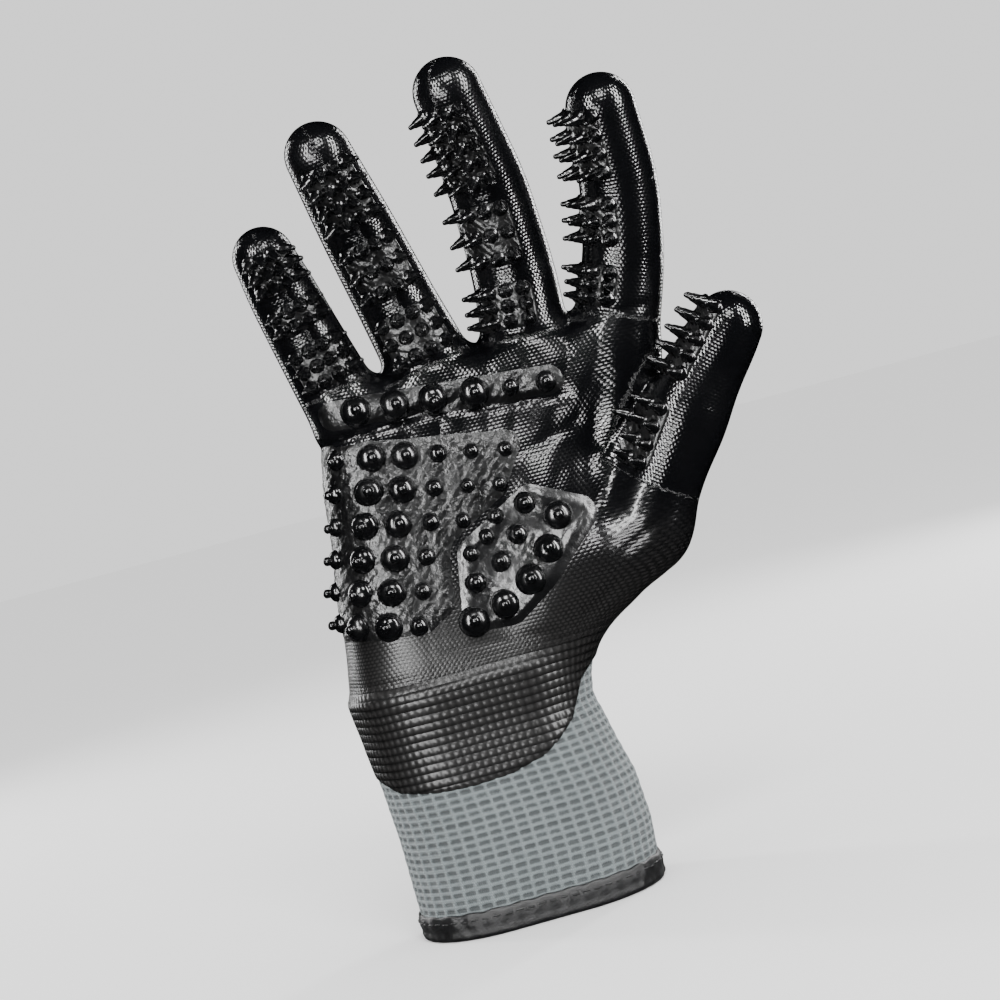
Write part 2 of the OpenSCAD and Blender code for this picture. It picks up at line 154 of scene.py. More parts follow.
def step(x, lo, hi):
    t = np.clip((x - lo) / (hi - lo), 0, 1)
    return t * t * (3 - 2 * t)


def finger_field(p, name):
    pts, rad = LINES[name]
    d = np.full(len(p), 1e3)
    for i in range(len(pts) - 1):
        d = np.minimum(d, cone(p, pts[i], pts[i + 1], rad[i], rad[i + 1]))
    return d


CUFF_Z = np.array([-5, 0, 8, 17, 30, 40, 48, 54, 62, 70])
CUFF_X = np.array([0.6, 0.6, 0.7, 1.0, 0.3, -1.3, -2.6, -3.8, -3.8, -3.2])
CUFF_W = np.array([33.4, 33.4, 33.8, 34.2, 33.8, 32.9, 32.4, 31.9, 31.8, 32.2])
CUFF_D = np.array([23.0, 23.0, 23.0, 23.0, 23.0, 22.7, 22.4, 22.2, 22.2, 22.2])


def cuff_section(z):
    return np.interp(z, CUFF_Z, CUFF_X), np.interp(z, CUFF_Z, CUFF_W), np.interp(z, CUFF_Z, CUFF_D)


def cuff_field(p):
    cx, w, dep = cuff_section(p[:, 2])
    q = np.maximum(np.abs(p[:, 0] - cx) - (w - dep), 0)
    return np.maximum(np.hypot(q, p[:, 1]) - dep, p[:, 2] - 66)


def knuckle(name):
    s = CHAIN[name][0]
    return s.at(0, 0, -KNUCKLE_DOWN), s.r0 + 1.0


FAR = 60.0


def palm_cones():
    out = []
    ks = [knuckle(n) for n in ("pinky", "ring", "middle", "index")]
    for i in range(10):
        t = i / 9
        q = t * 3
        j = min(int(q), 2)
        f = q - j
        k = ks[j][0] * (1 - f) + ks[j + 1][0] * f + np.array([0, 0, 8.5 * f * (1 - f)])
        r = ks[j][1] * (1 - f) + ks[j + 1][1] * f
        w = np.array([-13.2 + 21.5 * t, 0.0, 70.0])
        out.append((w, k, 22.6, r))
    return out


PALM = palm_cones()
THUMB_ROOT = np.array([23.5, -6, 84.0])
WEB = [((50, -6, 131), (52, -10, 112), 9.2, 9), ((50, -6, 131), (30, -5, 110), 9.2, 12),
       ((52, -10, 112), (30, -5, 110), 9, 12), ((51, -8, 121), (30, -5, 110), 8, 12)]

# Folds: ends in x and z on the palm side, depth and half width
FOLDS = [((-27, 137.2), (12, 140.6), 1.5, 1.7), ((8, 138.6), (41, 134.2), 1.0, 1.6),
         ((52, 136), (41, 112), 1.1, 3.6), ((58, 128), (46, 116), 0.9, 1.6), ((44, 90), (58, 97), 0.5, 1.6),
         ((40, 82), (30, 76), 0.6, 1.8), ((-25, 151.5), (70, 152.5), 0.7, 1.4), ((42, 127), (26, 122), 0.6, 1.8),
         ((-33, 72), (-5, 69), 0.35, 1.6), ((-34, 64), (-6, 61.5), 0.3, 1.5), ((-8, 77), (20, 74), 0.25, 1.5)]


def relief(p):
    """How far the surface stands out of the plain form: folds and hollows of the worn palm."""
    x, y, z = p.T
    front = step(-y, -2, 6)
    out = np.zeros(len(p))
    for a, b, depth, half in FOLDS:
        a, b = np.array(a, float), np.array(b, float)
        q = p[:, [0, 2]] - a
        d = b - a
        t = np.clip(q @ d / (d @ d), 0, 1)
        off = np.linalg.norm(q - t[:, None] * d, axis=1)
        out -= depth * np.exp(-(off / half) ** 2) * (1 - 0.5 * (2 * t - 1) ** 4) * front
    out -= 3.2 * np.exp(-((x - 40) / 11) ** 2 - ((z - 119) / 15) ** 2) * front
    out -= 1.2 * np.exp(-((x - 8) / 20) ** 2 - ((z - 134) / 8) ** 2) * front
    swell = 0.5 * np.sin(x * 0.19 + z * 0.07) * np.sin(z * 0.13 - x * 0.05 + 1.0)
    out += swell * step(z, 60, 80) * (1 - step(z, 140, 150))
    back = step(y, -2, 6) * step(z, 62, 80)
    out += 0.55 * back * np.exp(-((x - 10) / 26) ** 2) * np.sin(z * 0.09)
    for n in ("ring", "middle", "index"):
        k, r = knuckle(n)
        out += 1.0 * back * np.exp(-((x - k[0]) / 7) ** 2 - ((z - k[2] - 2) / 9) ** 2)
    return out


def field(p):
    """Signed distance from the glove's outside: smoothly joined cones, less their relief."""
    p = np.asarray(p, float)
    d = np.full(len(p), FAR)
    z = p[:, 2]
    hand = (z > 35) & (z < 172) & (p[:, 0] < 84)
    if hand.any():
        q = p[hand]
        dh = np.full(len(q), FAR)
        for a, b, ra, rb in PALM:
            dh = np.minimum(dh, cone(q, a, b, ra, rb))
        thenar = cone(q, THUMB_ROOT, knuckle("thumb")[0], 18.3, 11.6)
        dh = soft_min(dh, thenar, 7)
        web = np.full(len(q), FAR)
        for a, b, ra, rb in WEB:
            web = np.minimum(web, cone(q, np.array(a, float), np.array(b, float), ra, rb))
        dh = soft_min(dh, web, 7)
        d[hand] = dh
    low = z < 80
    if low.any():
        d[low] = soft_min(d[low], cuff_field(p[low]), 6)
    for n in NAMES:
        lo, hi = LINES[n][0].min(0) - 20, LINES[n][0].max(0) + 20
        near = ((p > lo) & (p < hi)).all(1)
        if near.any():
            d[near] = soft_min(d[near], finger_field(p[near], n), 4.5 if n != "thumb" else 6)
    return d - relief(p)


def gradient(p, e=0.25):
    g = np.zeros_like(p)
    for s in ((1, 1, 1), (1, -1, -1), (-1, 1, -1), (-1, -1, 1)):
        s = np.array(s, float)
        g += field(p + e * s)[:, None] * s
    return g / (4 * e)


def onto_surface(p, rounds=3, level=0.0):
    for _ in range(rounds):
        g = gradient(p)
        p = p - ((field(p) - level) / np.maximum((g * g).sum(1), 0.2))[:, None] * g
    return p


def surface_nets(h):
    """Vertices and quads of the glove's outside, one vertex in each cell of side h that it crosses."""
    lo, hi = np.array([-48.0, -42.0, -4.0]), np.array([112.0, 38.0, 240.0])
    block = 4
    n = (np.ceil((hi - lo) / (h * block)).astype(int)) * block + 1
    axes = [lo[i] + h * np.arange(n[i]) for i in range(3)]
    coarse = [a[::block] for a in axes]
    grid = np.stack(np.meshgrid(*coarse, indexing="ij"), -1).reshape(-1, 3)
    dc = field(grid).reshape([len(a) for a in coarse])
    full = np.kron(dc, np.ones((block, block, block)))[:n[0], :n[1], :n[2]]
    near = np.abs(full) < block * h * 2.2
    idx = np.argwhere(near)
    pts = lo + h * idx
    vals = np.concatenate([field(c) for c in np.array_split(pts, max(1, len(pts) // 200000))])
    full[near] = vals
    neg = full < 0
    count = np.zeros(np.array(full.shape) - 1, np.int8)
    corners = [(i, j, k) for i in (0, 1) for j in (0, 1) for k in (0, 1)]
    m = np.array(full.shape) - 1
    for c in corners:
        count += neg[c[0]:c[0] + m[0], c[1]:c[1] + m[1], c[2]:c[2] + m[2]]
    cells = np.argwhere((count > 0) & (count < 8))
    vid = np.full(count.shape, -1)
    vid[tuple(cells.T)] = np.arange(len(cells))
    total, hits = np.zeros((len(cells), 3)), np.zeros(len(cells))
    for a in corners:
        for ax in range(3):
            if a[ax]:
                continue
            b = list(a)
            b[ax] = 1
            da = full[tuple((cells + a).T)]
            db = full[tuple((cells + b).T)]
            cut = (da < 0) != (db < 0)
            t = da / np.where(cut, da - db, 1)
            q = cells + np.array(a, float)
            q[:, ax] += t
            total[cut] += q[cut]
            hits[cut] += 1
    verts = lo + h * total / hits[:, None]
    quads = []
    for ax in range(3):
        u, v = (ax + 1) % 3, (ax + 2) % 3
        sa = [slice(1, -1)] * 3
        sb = [slice(1, -1)] * 3
        sa[ax], sb[ax] = slice(0, -1), slice(1, None)
        first, second = neg[tuple(sa)], neg[tuple(sb)]
        for flip in (0, 1):
            e = np.argwhere(first & ~second if flip == 0 else ~first & second)
            off = np.ones(3, int)
            off[ax] = 0
            e = e + off
            q = []
            for du, dv in ((0, 0), (-1, 0), (-1, -1), (0, -1)):
                c = e.copy()
                c[:, u] += du
                c[:, v] += dv
                q.append(vid[tuple(c.T)])
            q = np.stack(q, 1)
            quads.append(q if flip == 0 else q[:, ::-1])
    quads = np.concatenate(quads)
    return verts, quads[(quads >= 0).all(1)]


def neighbours_mean(n, faces, p):
    acc, cnt = np.zeros((n, 3)), np.zeros(n)
    k = faces.shape[1]
    for i in range(k):
        a, b = faces[:, i], faces[:, (i + 1) % k]
        for s, t in ((a, b), (b, a)):
            acc += np.stack([np.bincount(s, p[t, j], n) for j in range(3)], 1)
            cnt += np.bincount(s, minlength=n)
    return acc / np.maximum(cnt, 1)[:, None]


print("skin: fields")
V, Q = surface_nets(1.0)
for _ in range(3):
    V = V * 0.4 + neighbours_mean(len(V), Q, V) * 0.6
    V = onto_surface(V, 1)
V = onto_surface(V, 2)
print("skin", len(V), "vertices")


# ------------------------------------------------------------------ where each point is on the glove
def finger_place(p, name):
    """Angle from the finger's nub side, distance from its bones, and distance along it from its root."""
    best = None
    for s in CHAIN[name]:
        q = s.local(p)
        t = np.clip(q[:, 2], -60 if s.first else 0, 90 if s.last else s.length)
        off = np.linalg.norm(q - np.stack([0 * t, 0 * t, t], 1), axis=1)
        row = np.stack([np.arctan2(q[:, 0], -q[:, 1]), off, q[:, 2] + s.start], 1)
        if best is None:
            best = row
        else:
            better = off < best[:, 1] - 1e-6
            best[better] = row[better]
    return best


def whose(p):
    """The finger that each point belongs to (-1 is the hand) and the along/angle coordinates."""
    which = np.full(len(p), -1)
    along, ang = np.zeros(len(p)), np.zeros(len(p))
    dist = np.full(len(p), 1e3)
    for i, n in enumerate(NAMES):
        lo, hi = LINES[n][0].min(0) - 16, LINES[n][0].max(0) + 16
        near = np.where(((p > lo) & (p < hi)).all(1))[0]
        d = finger_field(p[near], n)
        pl = finger_place(p[near], n)
        ok = (d < dist[near]) & (d < 6) & (pl[:, 2] > -6)
        k = near[ok]
        dist[k], which[k], along[k], ang[k] = d[ok], i, pl[ok, 2], pl[ok, 0]
    return which, along, ang


# The dip's lower edge, and how far up each finger's back the knit shows and to which side that tongue turns
LOW_X = np.array([-60, -38, -35, -30, -20, -10, 0, 10, 15, 20, 23, 25, 30, 35, 45, 55, 90])
LOW_Z = np.array([50, 49, 46, 42, 40.5, 40, 40.5, 43, 46, 50, 55, 59, 62.5, 65, 74, 79, 79.0])
TONGUES = {"pinky": (31, 4), "ring": (52, 6), "middle": (57, 12), "index": (45, 22), "thumb": (-99, 0)}


def dip_mask(p, which, along, ang):
    """How far inside the dip's edge each point is, in millimetres."""
    x, y, z = p.T
    low = (z - np.interp(x, LOW_X, LOW_Z)) * 0.8
    wave = 1.1 * np.sin(z * 0.21 + 0.6) + 0.8 * np.sin(z * 0.093 + 2)
    edge = np.interp(x, [-40, -30, 20, 45, 70], [7.5, 5.0, 3.0, 1.0, -1.0]) + wave * (x < 0)
    edge = edge - 6.5 * step(-z, -82, -60) * (x > 0)
    hand = np.minimum(low, edge - y)
    out = hand
    for i, n in enumerate(NAMES):
        k = which == i
        if not k.any():
            continue
        segs = CHAIN[n]
        total = segs[-1].start + segs[-1].length
        r = np.interp(along[k], [0, total], [segs[0].r0, segs[-1].r1])
        half = (0.85 if n == "pinky" else 0.92) * segs[0].r0
        top, turn = TONGUES[n]
        side = np.pi - np.abs((ang[k] - math.radians(turn) + np.pi) % (2 * np.pi) - np.pi)
        c = top - half
        tongue = np.where(along[k] < c, side * r - half, np.hypot(side * r, along[k] - c) - half)
        w = step(along[k], -3, 7)
        if n == "thumb":  # dipped all round
            tongue, w = np.full(k.sum(), 9.0), step(along[k], -6, 6)
        out[k] = hand[k] * (1 - w) + tongue * w
    return out


def knit_coordinates(p, which, along, ang):
    """Millimetres round and along the knit."""
    x, y, z = p.T
    half = np.interp(z, [0, 48, 70, 150], [11, 11, 24, 36])
    mid = np.interp(z, [0, 54, 70, 150], [0.5, -4, -4, 19])
    thick = np.interp(z, [0, 60, 150], [23, 22, 12])
    q = np.clip(x - mid, -half, half)
    a = np.arctan2(x - mid - q, np.abs(y) + 1e-6)
    u = q + a * thick
    u = np.where(y > 0, u, -u + 1000)
    v = z.copy()
    for i, n in enumerate(NAMES):
        k = (which == i) & (along > 0)
        segs = CHAIN[n]
        root = segs[0].m[:3, 3]
        base = root[0] - np.interp(root[2], [0, 150], [0, 19])
        aa = (ang[k] + 2 * np.pi) % (2 * np.pi) - np.pi
        r = np.interp(along[k], [0, 60], [segs[0].r0, segs[-1].r1])
        u[k] = base - aa * r
        v[k] = root[2] + along[k]
    return u, v


# ------------------------------------------------------------------ mesh helpers
def make(name, verts, faces, mat, attrs, normals):
    me = bpy.data.meshes.new(name)
    me.from_pydata((np.asarray(verts, float) * MM).tolist(), [], faces.tolist())
    me.validate(clean_customdata=False)
    for key, val in (attrs or {}).items():
        at = me.attributes.new(key, "FLOAT", "POINT")
        at.data.foreach_set("value", np.asarray(val, np.float32))
    me.polygons.foreach_set("use_smooth", [True] * len(me.polygons))
    me.normals_split_custom_set_from_vertices(normals.tolist())
    me.materials.append(mat)
    ob = bpy.data.objects.new(name, me)
    bpy.context.scene.collection.objects.link(ob)
    return ob


def grid_faces(nu, nv, wrap):
    i, j = np.meshgrid(np.arange(nu if wrap else nu - 1), np.arange(nv - 1), indexing="ij")
    i2 = (i + 1) % nu
    return np.stack([i * nv + j, i2 * nv + j, i2 * nv + j + 1, i * nv + j + 1], -1).reshape(-1, 4)


def ring_faces(n, sides):
    """Quads between n rings of points."""
    i, j = np.meshgrid(np.arange(n - 1), np.arange(sides), indexing="ij")
    j2 = (j + 1) % sides
    return np.stack([i * sides + j, i * sides + j2, (i + 1) * sides + j2, (i + 1) * sides + j], -1).reshape(-1, 4)


def triangles(quads):
    return np.concatenate([quads[:, [0, 1, 2]], quads[:, [0, 2, 3]]])


def join(parts):
    vs, fs, base = [], [], 0
    for v, f in parts:
        vs.append(v)
        fs.append(f + base)
        base += len(v)
    return np.concatenate(vs), np.concatenate(fs)


def rounded(x, low=0):
    """A quarter circle's height: from low at x = 0 to 1 at x = 1 and beyond."""
    return np.sqrt(np.clip(1 - (1 - np.clip(x, 0, 1)) ** 2, low, 1))


def compact(verts, faces, *arrays):
    used, inv = np.unique(faces, return_inverse=True)
    return (verts[used], inv.reshape(faces.shape)) + tuple(a[used] for a in arrays)


def vertex_normals(v, f):
    n = np.zeros_like(v)
    for i in range(1, f.shape[1] - 1):
        fn = np.cross(v[f[:, i]] - v[f[:, 0]], v[f[:, i + 1]] - v[f[:, 0]])
        for j in (0, i, i + 1):
            n += np.stack([np.bincount(f[:, j], fn[:, c], len(v)) for c in range(3)], 1)
    return n / np.maximum(np.linalg.norm(n, axis=1), 1e-12)[:, None]


def split_at_zero(verts, tris, f, arrays):
    """Splits triangles where f changes sign. Returns the vertices, triangles, f and arrays."""
    s = f >= 0
    mixed = s[tris].any(1) & ~s[tris].all(1)
    keep = tris[~mixed]
    t = tris[mixed]
    odd = s[t].sum(1) == 1
    lone = np.where(odd[:, None], s[t], ~s[t])
    k = lone.argmax(1)
    r = np.arange(len(t))
    a, b, c = t[r, k], t[r, (k + 1) % 3], t[r, (k + 2) % 3]
    edges = np.sort(np.concatenate([np.stack([a, b], 1), np.stack([a, c], 1)]), 1)
    uq, inv = np.unique(edges, axis=0, return_inverse=True)
    inv = inv.reshape(-1)
    w = f[uq[:, 0]] / (f[uq[:, 0]] - f[uq[:, 1]])

    def with_cuts(x):
        k = w if x.ndim == 1 else w[:, None]
        return np.concatenate([x, x[uq[:, 0]] * (1 - k) + x[uq[:, 1]] * k])

    base = len(verts)
    m1, m2 = inv[:len(t)] + base, inv[len(t):] + base
    tris = np.concatenate([keep, np.stack([a, m1, m2], 1), np.stack([m1, b, c], 1), np.stack([m1, c, m2], 1)])
    return with_cuts(verts), tris, np.concatenate([f, np.zeros(len(w))]), [with_cuts(x) for x in arrays]


# ------------------------------------------------------------------ materials
class Shader:
    """A short way to write a node material."""

    def __init__(self, name, slot):
        self.mat = bpy.data.materials.new(name)
        self.mat.use_nodes = True
        self.nt = self.mat.node_tree
        self.bsdf = self.nt.nodes["Principled BSDF"]
        self.slot = slot

    def feed(self, socket, value):
        """Links a socket to another one, or sets its value."""
        if hasattr(value, "links"):
            self.nt.links.new(value, socket)
        else:
            socket.default_value = value

    def put(self, name, value):
        self.feed(self.bsdf.inputs[name], value)

    def node(self, kind, **props):
        n = self.nt.nodes.new(kind)
        for k, v in props.items():
            setattr(n, k, v)
        return n

    def math(self, op, *values):
        n = self.node("ShaderNodeMath", operation=op)
        for socket, value in zip(n.inputs, values):
            self.feed(socket, value)
        return n.outputs[0]

    def mul(self, a, b):
        return self.math("MULTIPLY", a, b)

    def add(self, a, b):
        return self.math("ADD", a, b)

    def wave(self, a, k):
        return self.math("COSINE", self.mul(a, k))

    def ramp(self, v, lo, hi, out_lo=0.0, out_hi=1.0):
        n = self.node("ShaderNodeMapRange", interpolation_type="SMOOTHSTEP")
        for socket, value in zip(n.inputs, (v, lo, hi, out_lo, out_hi)):
            self.feed(socket, value)
        return n.outputs[0]

    def attribute(self, name):
        return self.node("ShaderNodeAttribute", attribute_name=name).outputs["Fac"]

    def texture(self, kind, inputs, **props):
        """A texture node in the piece's own coordinates."""
        n = self.node(kind, **props)
        self.nt.links.new(self.node("ShaderNodeTexCoord").outputs["Object"], n.inputs["Vector"])
        for name, value in inputs.items():
            n.inputs[name].default_value = value
        return n.outputs

    def noise(self, scale, detail=3, rough=0.5):
        return self.texture("ShaderNodeTexNoise", {"Scale": scale, "Detail": detail, "Roughness": rough})["Fac"]

    def cells(self, u, v, pu, pv, stagger):
        """Coordinates from -0.5 to 0.5 in each cell of a grid."""
        fu, fv = self.math("DIVIDE", u, pu), self.math("DIVIDE", v, pv)
        if stagger:
            fu = self.add(fu, self.mul(self.math("FLOORED_MODULO", self.math("FLOOR", fv), 2.0), 0.5))
        return [self.math("SUBTRACT", self.math("FLOORED_MODULO", x, 1.0), 0.5) for x in (fu, fv)]

    def pillow(self, a, b):
        return self.mul(self.wave(a, math.pi), self.wave(b, math.pi))

    def mix(self, fac, a, b):
        """A mix of two colours, each a socket or three numbers."""
        n = self.node("ShaderNodeMix", data_type="RGBA")
        self.nt.links.new(fac, n.inputs[0])
        for socket, value in ((n.inputs[6], a), (n.inputs[7], b)):
            self.feed(socket, value if hasattr(value, "links") else (*value, 1))
        return n.outputs[2]

    def blendf(self, fac, a, b):
        n = self.node("ShaderNodeMix", data_type="FLOAT")
        for socket, value in zip(n.inputs[:1] + n.inputs[2:4], (fac, a, b)):
            self.feed(socket, value)
        return n.outputs[0]

    def bump(self, height, mm, strength, under=None):
        n = self.node("ShaderNodeBump")
        for name, value in (("Strength", strength), ("Distance", mm * MM), ("Height", height)):
            self.feed(n.inputs[name], value)
        if under is not None:
            self.nt.links.new(under, n.inputs["Normal"])
        return n.outputs[0]


GREY_LOW, GREY, GREY_HIGH = (0.060, 0.073, 0.076), (0.165, 0.196, 0.202), (0.28, 0.32, 0.33)


def jersey_material():
    m = Shader("knit_jersey", "knit")
    u, v = m.attribute("ku"), m.attribute("kv")
    a, b = m.cells(u, v, 1.25, 1.0, True)
    d = m.math("SQRT", m.add(m.mul(a, a), m.mul(m.mul(b, b), 1.7)))
    loop = m.ramp(d, 0.10, 0.42)
    tone = m.mul(loop, m.ramp(m.noise(60), 0.3, 0.75, 0.86, 1.0))
    c = m.mix(tone, GREY_LOW, GREY)
    yarn = m.ramp(m.noise(2600, 2), 0.42, 0.75)
    m.put("Base Color", m.mix(m.mul(yarn, 0.3), c, m.mix(yarn, GREY, GREY_HIGH)))
    m.put("Roughness", 0.86)
    m.put("Sheen Weight", 0.25)
    m.put("Sheen Roughness", 0.5)
    m.put("Normal", m.bump(m.noise(3500, 2), 0.05, 0.5, m.bump(loop, 0.22, 0.9)))
    return m


def waffle_material():
    m = Shader("knit_rib", "knit")
    pit_and_shade = m.attribute("pit_and_shade")
    u, v = m.attribute("ku"), m.attribute("kv")
    a, b = m.cells(u, v, 0.55, 0.7, True)
    stitch = m.pillow(a, b)
    tone = m.mul(m.ramp(m.noise(60), 0.3, 0.75, 0.88, 1.0), m.blendf(stitch, 0.72, 1.0))
    base = m.mix(tone, GREY_LOW, (0.185, 0.218, 0.224))
    # The pits are painted near black: painted shade in the recesses of the waffle, with noisy edges.
    dark = m.mix(tone, (0.02, 0.025, 0.027), (0.055, 0.066, 0.069))
    pit_shade_noise = m.mul(m.math("SUBTRACT", m.noise(1500, 3, 0.7), 0.5), 0.9)
    m.put("Base Color", m.mix(m.ramp(m.add(pit_and_shade, pit_shade_noise), 0.06, 0.80), base, dark))
    m.put("Roughness", 0.88)
    m.put("Sheen Weight", 0.25)
    m.put("Sheen Roughness", 0.5)
    m.put("Normal", m.bump(m.noise(3500, 2), 0.05, 0.5, m.bump(stitch, 0.16, 0.8)))
    return m


def dip_material():
    m = Shader("rubber_dip", "rubber_dip")
    u, v, dull, rib = (m.attribute(k) for k in ("ku", "kv", "dull", "rib"))
    a, b = m.cells(u, v, 1.3, 0.95, True)
    fine = m.pillow(a, b)
    a2, b2 = m.cells(u, v, 2.2, 2.2, False)
    coarse = m.mul(m.wave(b2, math.pi), m.add(0.72, m.mul(m.wave(a2, 2 * math.pi), 0.28)))
    height = m.blendf(rib, fine, coarse)
    worn = m.noise(45, 4)
    # Glossy dip: tone varies at random. Dull zone: the colour follows the knit's height under the rubber, with
    # painted shade that is darker in the grooves than on the raised cells.
    col = m.mix(dull, m.mix(worn, (0.0015, 0.0016, 0.002), (0.004, 0.0042, 0.005)),
                m.mix(height, (0.003, 0.0029, 0.0028), (0.021, 0.02, 0.0197)))
    m.put("Base Color", col)
    m.put("Roughness", m.blendf(dull, m.ramp(worn, 0.3, 0.7, 0.13, 0.21), 0.36))
    m.put("Specular IOR Level", 0.4)
    knit = m.bump(m.blendf(rib, m.mul(fine, 0.20), height), 0.30, 0.8)
    m.put("Normal", m.bump(m.noise(900, 3), 0.03, 0.6, knit))
    return m


def rubber_material(name, rough, grain, colour=(0.0026, 0.0027, 0.0031)):
    m = Shader(name, "rubber_nubs")
    worn = m.noise(120, 3)
    m.put("Base Color", m.mix(worn, tuple(x * 0.7 for x in colour), tuple(x * 1.5 for x in colour)))
    m.put("Roughness", m.ramp(worn, 0.3, 0.7, rough, rough + 0.10))
    m.put("Specular IOR Level", 0.5)
    m.put("Normal", m.bump(m.noise(grain[0], 3), grain[1], 0.8))
    return m


def cloth_material(name, slot, dark, light, rough, pu=0.6, pv=0.6, sheen=0.3, depth=0.08):
    m = Shader(name, slot)
    waves = [m.texture("ShaderNodeTexWave", {"Scale": 500 / pitch, "Distortion": wobble}, bands_direction=axis)
             for axis, pitch, wobble in (("X", pu, 1.5), ("Z", pv, 1.0))]
    weave = m.mul(m.add(waves[0]["Fac"], waves[1]["Fac"]), 0.5)
    m.put("Base Color", m.mix(m.mul(weave, m.ramp(m.noise(150), 0.3, 0.7, 0.7, 1.0)), dark, light))
    m.put("Roughness", rough)
    m.put("Sheen Weight", sheen)
    m.put("Normal", m.bump(weave, depth, 0.8))
    return m


def leather_material():
    m = Shader("strap_leather", "strap")
    creases = m.texture("ShaderNodeTexVoronoi", {"Scale": 1300}, feature="DISTANCE_TO_EDGE")
    grain = m.ramp(creases["Distance"], 0.0, 0.22)
    worn = m.noise(40, 4)
    m.put("Base Color", m.mix(m.mul(grain, worn), (0.010, 0.0099, 0.0104), (0.031, 0.0305, 0.032)))
    m.put("Roughness", m.ramp(worn, 0.3, 0.7, 0.4, 0.52))
    m.put("Normal", m.bump(grain, 0.05, 0.7))
    return m


def print_material():
    m = Shader("print_ink", "print")
    worn = m.noise(700, 4)
    m.put("Base Color", m.mix(m.ramp(worn, 0.3, 0.6), (0.33, 0.35, 0.355), (0.44, 0.465, 0.47)))
    m.put("Roughness", 0.55)
    m.put("Normal", m.bump(worn, 0.03, 0.6))
    return m


JERSEY, WAFFLE, DIP = jersey_material(), waffle_material(), dip_material()
NUB = rubber_material("rubber_nubs", 0.14, (700, 0.04))
PAD_ROUGH = rubber_material("rubber_pad_grained", 0.27, (620, 0.45))
PAD_SMOOTH = rubber_material("rubber_pad_smooth", 0.20, (420, 0.22), (0.004, 0.0041, 0.0046))
LINER = cloth_material("knit_liner", "knit", GREY_LOW, GREY, 0.9, 1.1, 1.1)
BINDING = cloth_material("binding_satin", "binding", (0.003, 0.003, 0.0035), (0.009, 0.009, 0.0102),
                         0.36, 0.5, 0.5, 0.03)
THREAD = cloth_material("thread", "thread", (0.003, 0.003, 0.0034), (0.012, 0.012, 0.013),
                        0.5, 0.25, 0.25, 0.05, 0.03)
LEATHER, PRINT = leather_material(), print_material()
HOOK = cloth_material("hook_tape", "hook_and_loop", (0.006, 0.006, 0.006), (0.035, 0.035, 0.037),
                      0.6, 1.0, 1.0, 0.1, 0.3)
LOOP = cloth_material("loop_fabric", "hook_and_loop", (0.01, 0.01, 0.01), (0.05, 0.05, 0.052),
                      0.9, 0.5, 0.5, 0.8, 0.2)


def finish_piece(ob, shader, body, *nodes, blend=None):
    if blend:
        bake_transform(ob)
    else:
        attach(ob, body)
    if nodes:
        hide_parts(*nodes)


def piece(name, verts, faces, shader, body, *nodes, normals=None):
    if normals is None:
        normals = vertex_normals(verts, faces)
    finish_piece(make(name, verts, faces, shader.mat, None, normals), shader, body, *nodes)


# ------------------------------------------------------------------ the knit and the dip
SEAM_Z = 69.0  # the height at which the ribbed cuff meets the jersey
CREASE = 6.0   # how far a blend runs to each side of a crease
which, along, ang = whose(V)
mask = dip_mask(V, which, along, ang)
T = triangles(Q)
N = gradient(V)
N /= np.linalg.norm(N, axis=1)[:, None]
V, T, mask, (N,) = split_at_zero(V, T, mask, [N])
V, T, _, (N, mask) = split_at_zero(V, T, np.where(mask > -0.001, 5.0, V[:, 2] - SEAM_Z), [N, mask])
which, along, ang = whose(V)
ku, kv = knit_coordinates(V, which, along, ang)
face_mask = mask[T].mean(1)
face_z = V[T][:, :, 2].mean(1)
coat_faces = T[face_mask > 0]
knit_faces = T[(face_mask <= 0) & (face_z > SEAM_Z)]
P_coat = V + N * (0.55 * step(mask, 0.0, 0.7))[:, None]
N_coat = vertex_normals(P_coat, coat_faces)
N_knit = vertex_normals(V, T)
dull = step(-V[:, 2], -104, -72)
ribbed = step(-V[:, 2], -76, -68)


def root_cut(n):
    """How far up a finger its base starts."""
    return 3.0 if n != "thumb" else 0.0


def zone(tris):
    """The blend piece that each triangle is in: 0 is the hand, then 10 * finger + part."""
    c = V[tris].mean(1)
    w, al, _ = whose(c)
    out = np.zeros(len(c), int)
    for i, n in enumerate(NAMES):
        segs = CHAIN[n]
        cuts = [root_cut(n)] + [s.start - CREASE for s in segs[1:]]
        k = (w == i) & (al > cuts[0])
        out[k] = 10 * (i + 1) + np.searchsorted(cuts, al[k])
    return out


def skin_pieces(faces, pts, normals, shader, attrs, label, nodes_for):
    z = zone(faces)
    for code in np.unique(z):
        p, f, nn, *at = compact(pts, faces[z == code], normals, *attrs.values())
        i, part = divmod(int(code), 10)
        n = NAMES[i - 1] if code else None
        seg = CHAIN[n][part - 1] if code else None
        ob = make(f"{label}_{seg.body if seg else 'hand'}", p, f, shader.mat, dict(zip(attrs, at)), nn)
        if seg is None:
            finish_piece(ob, shader, "hand", *nodes_for(None, 0))
            continue
        if seg.first:
            prev, a, b = "hand", seg.at(0, 0, root_cut(n)), seg.at(0, 0, seg.length - CREASE)
        else:
            up = CHAIN[n][part - 2]
            prev, a, b = up.body, up.at(0, 0, up.length - CREASE), seg.at(0, 0, CREASE)
        finish_piece(ob, shader, None, *nodes_for(n, part), blend=(prev, seg.body, a * MM, b * MM))


def node_name(n, layer, part):
    return f"{n}_{layer}_{PART_NAMES[len(CHAIN[n])][part - 1]}"


skin_pieces(coat_faces, P_coat, N_coat, DIP, {"ku": ku, "kv": kv, "dull": dull, "rib": ribbed}, "dip",
            lambda n, part: ("palm_coating",) if n is None else
            (node_name(n, "coating", part),) + ((node_name(n, "stall", part),) if n == "thumb" else ()))
skin_pieces(knit_faces, V, N_knit, JERSEY, {"ku": ku, "kv": kv}, "jersey",
            lambda n, part: ("knit_hand",) if n is None else (node_name(n, "stall", part),))

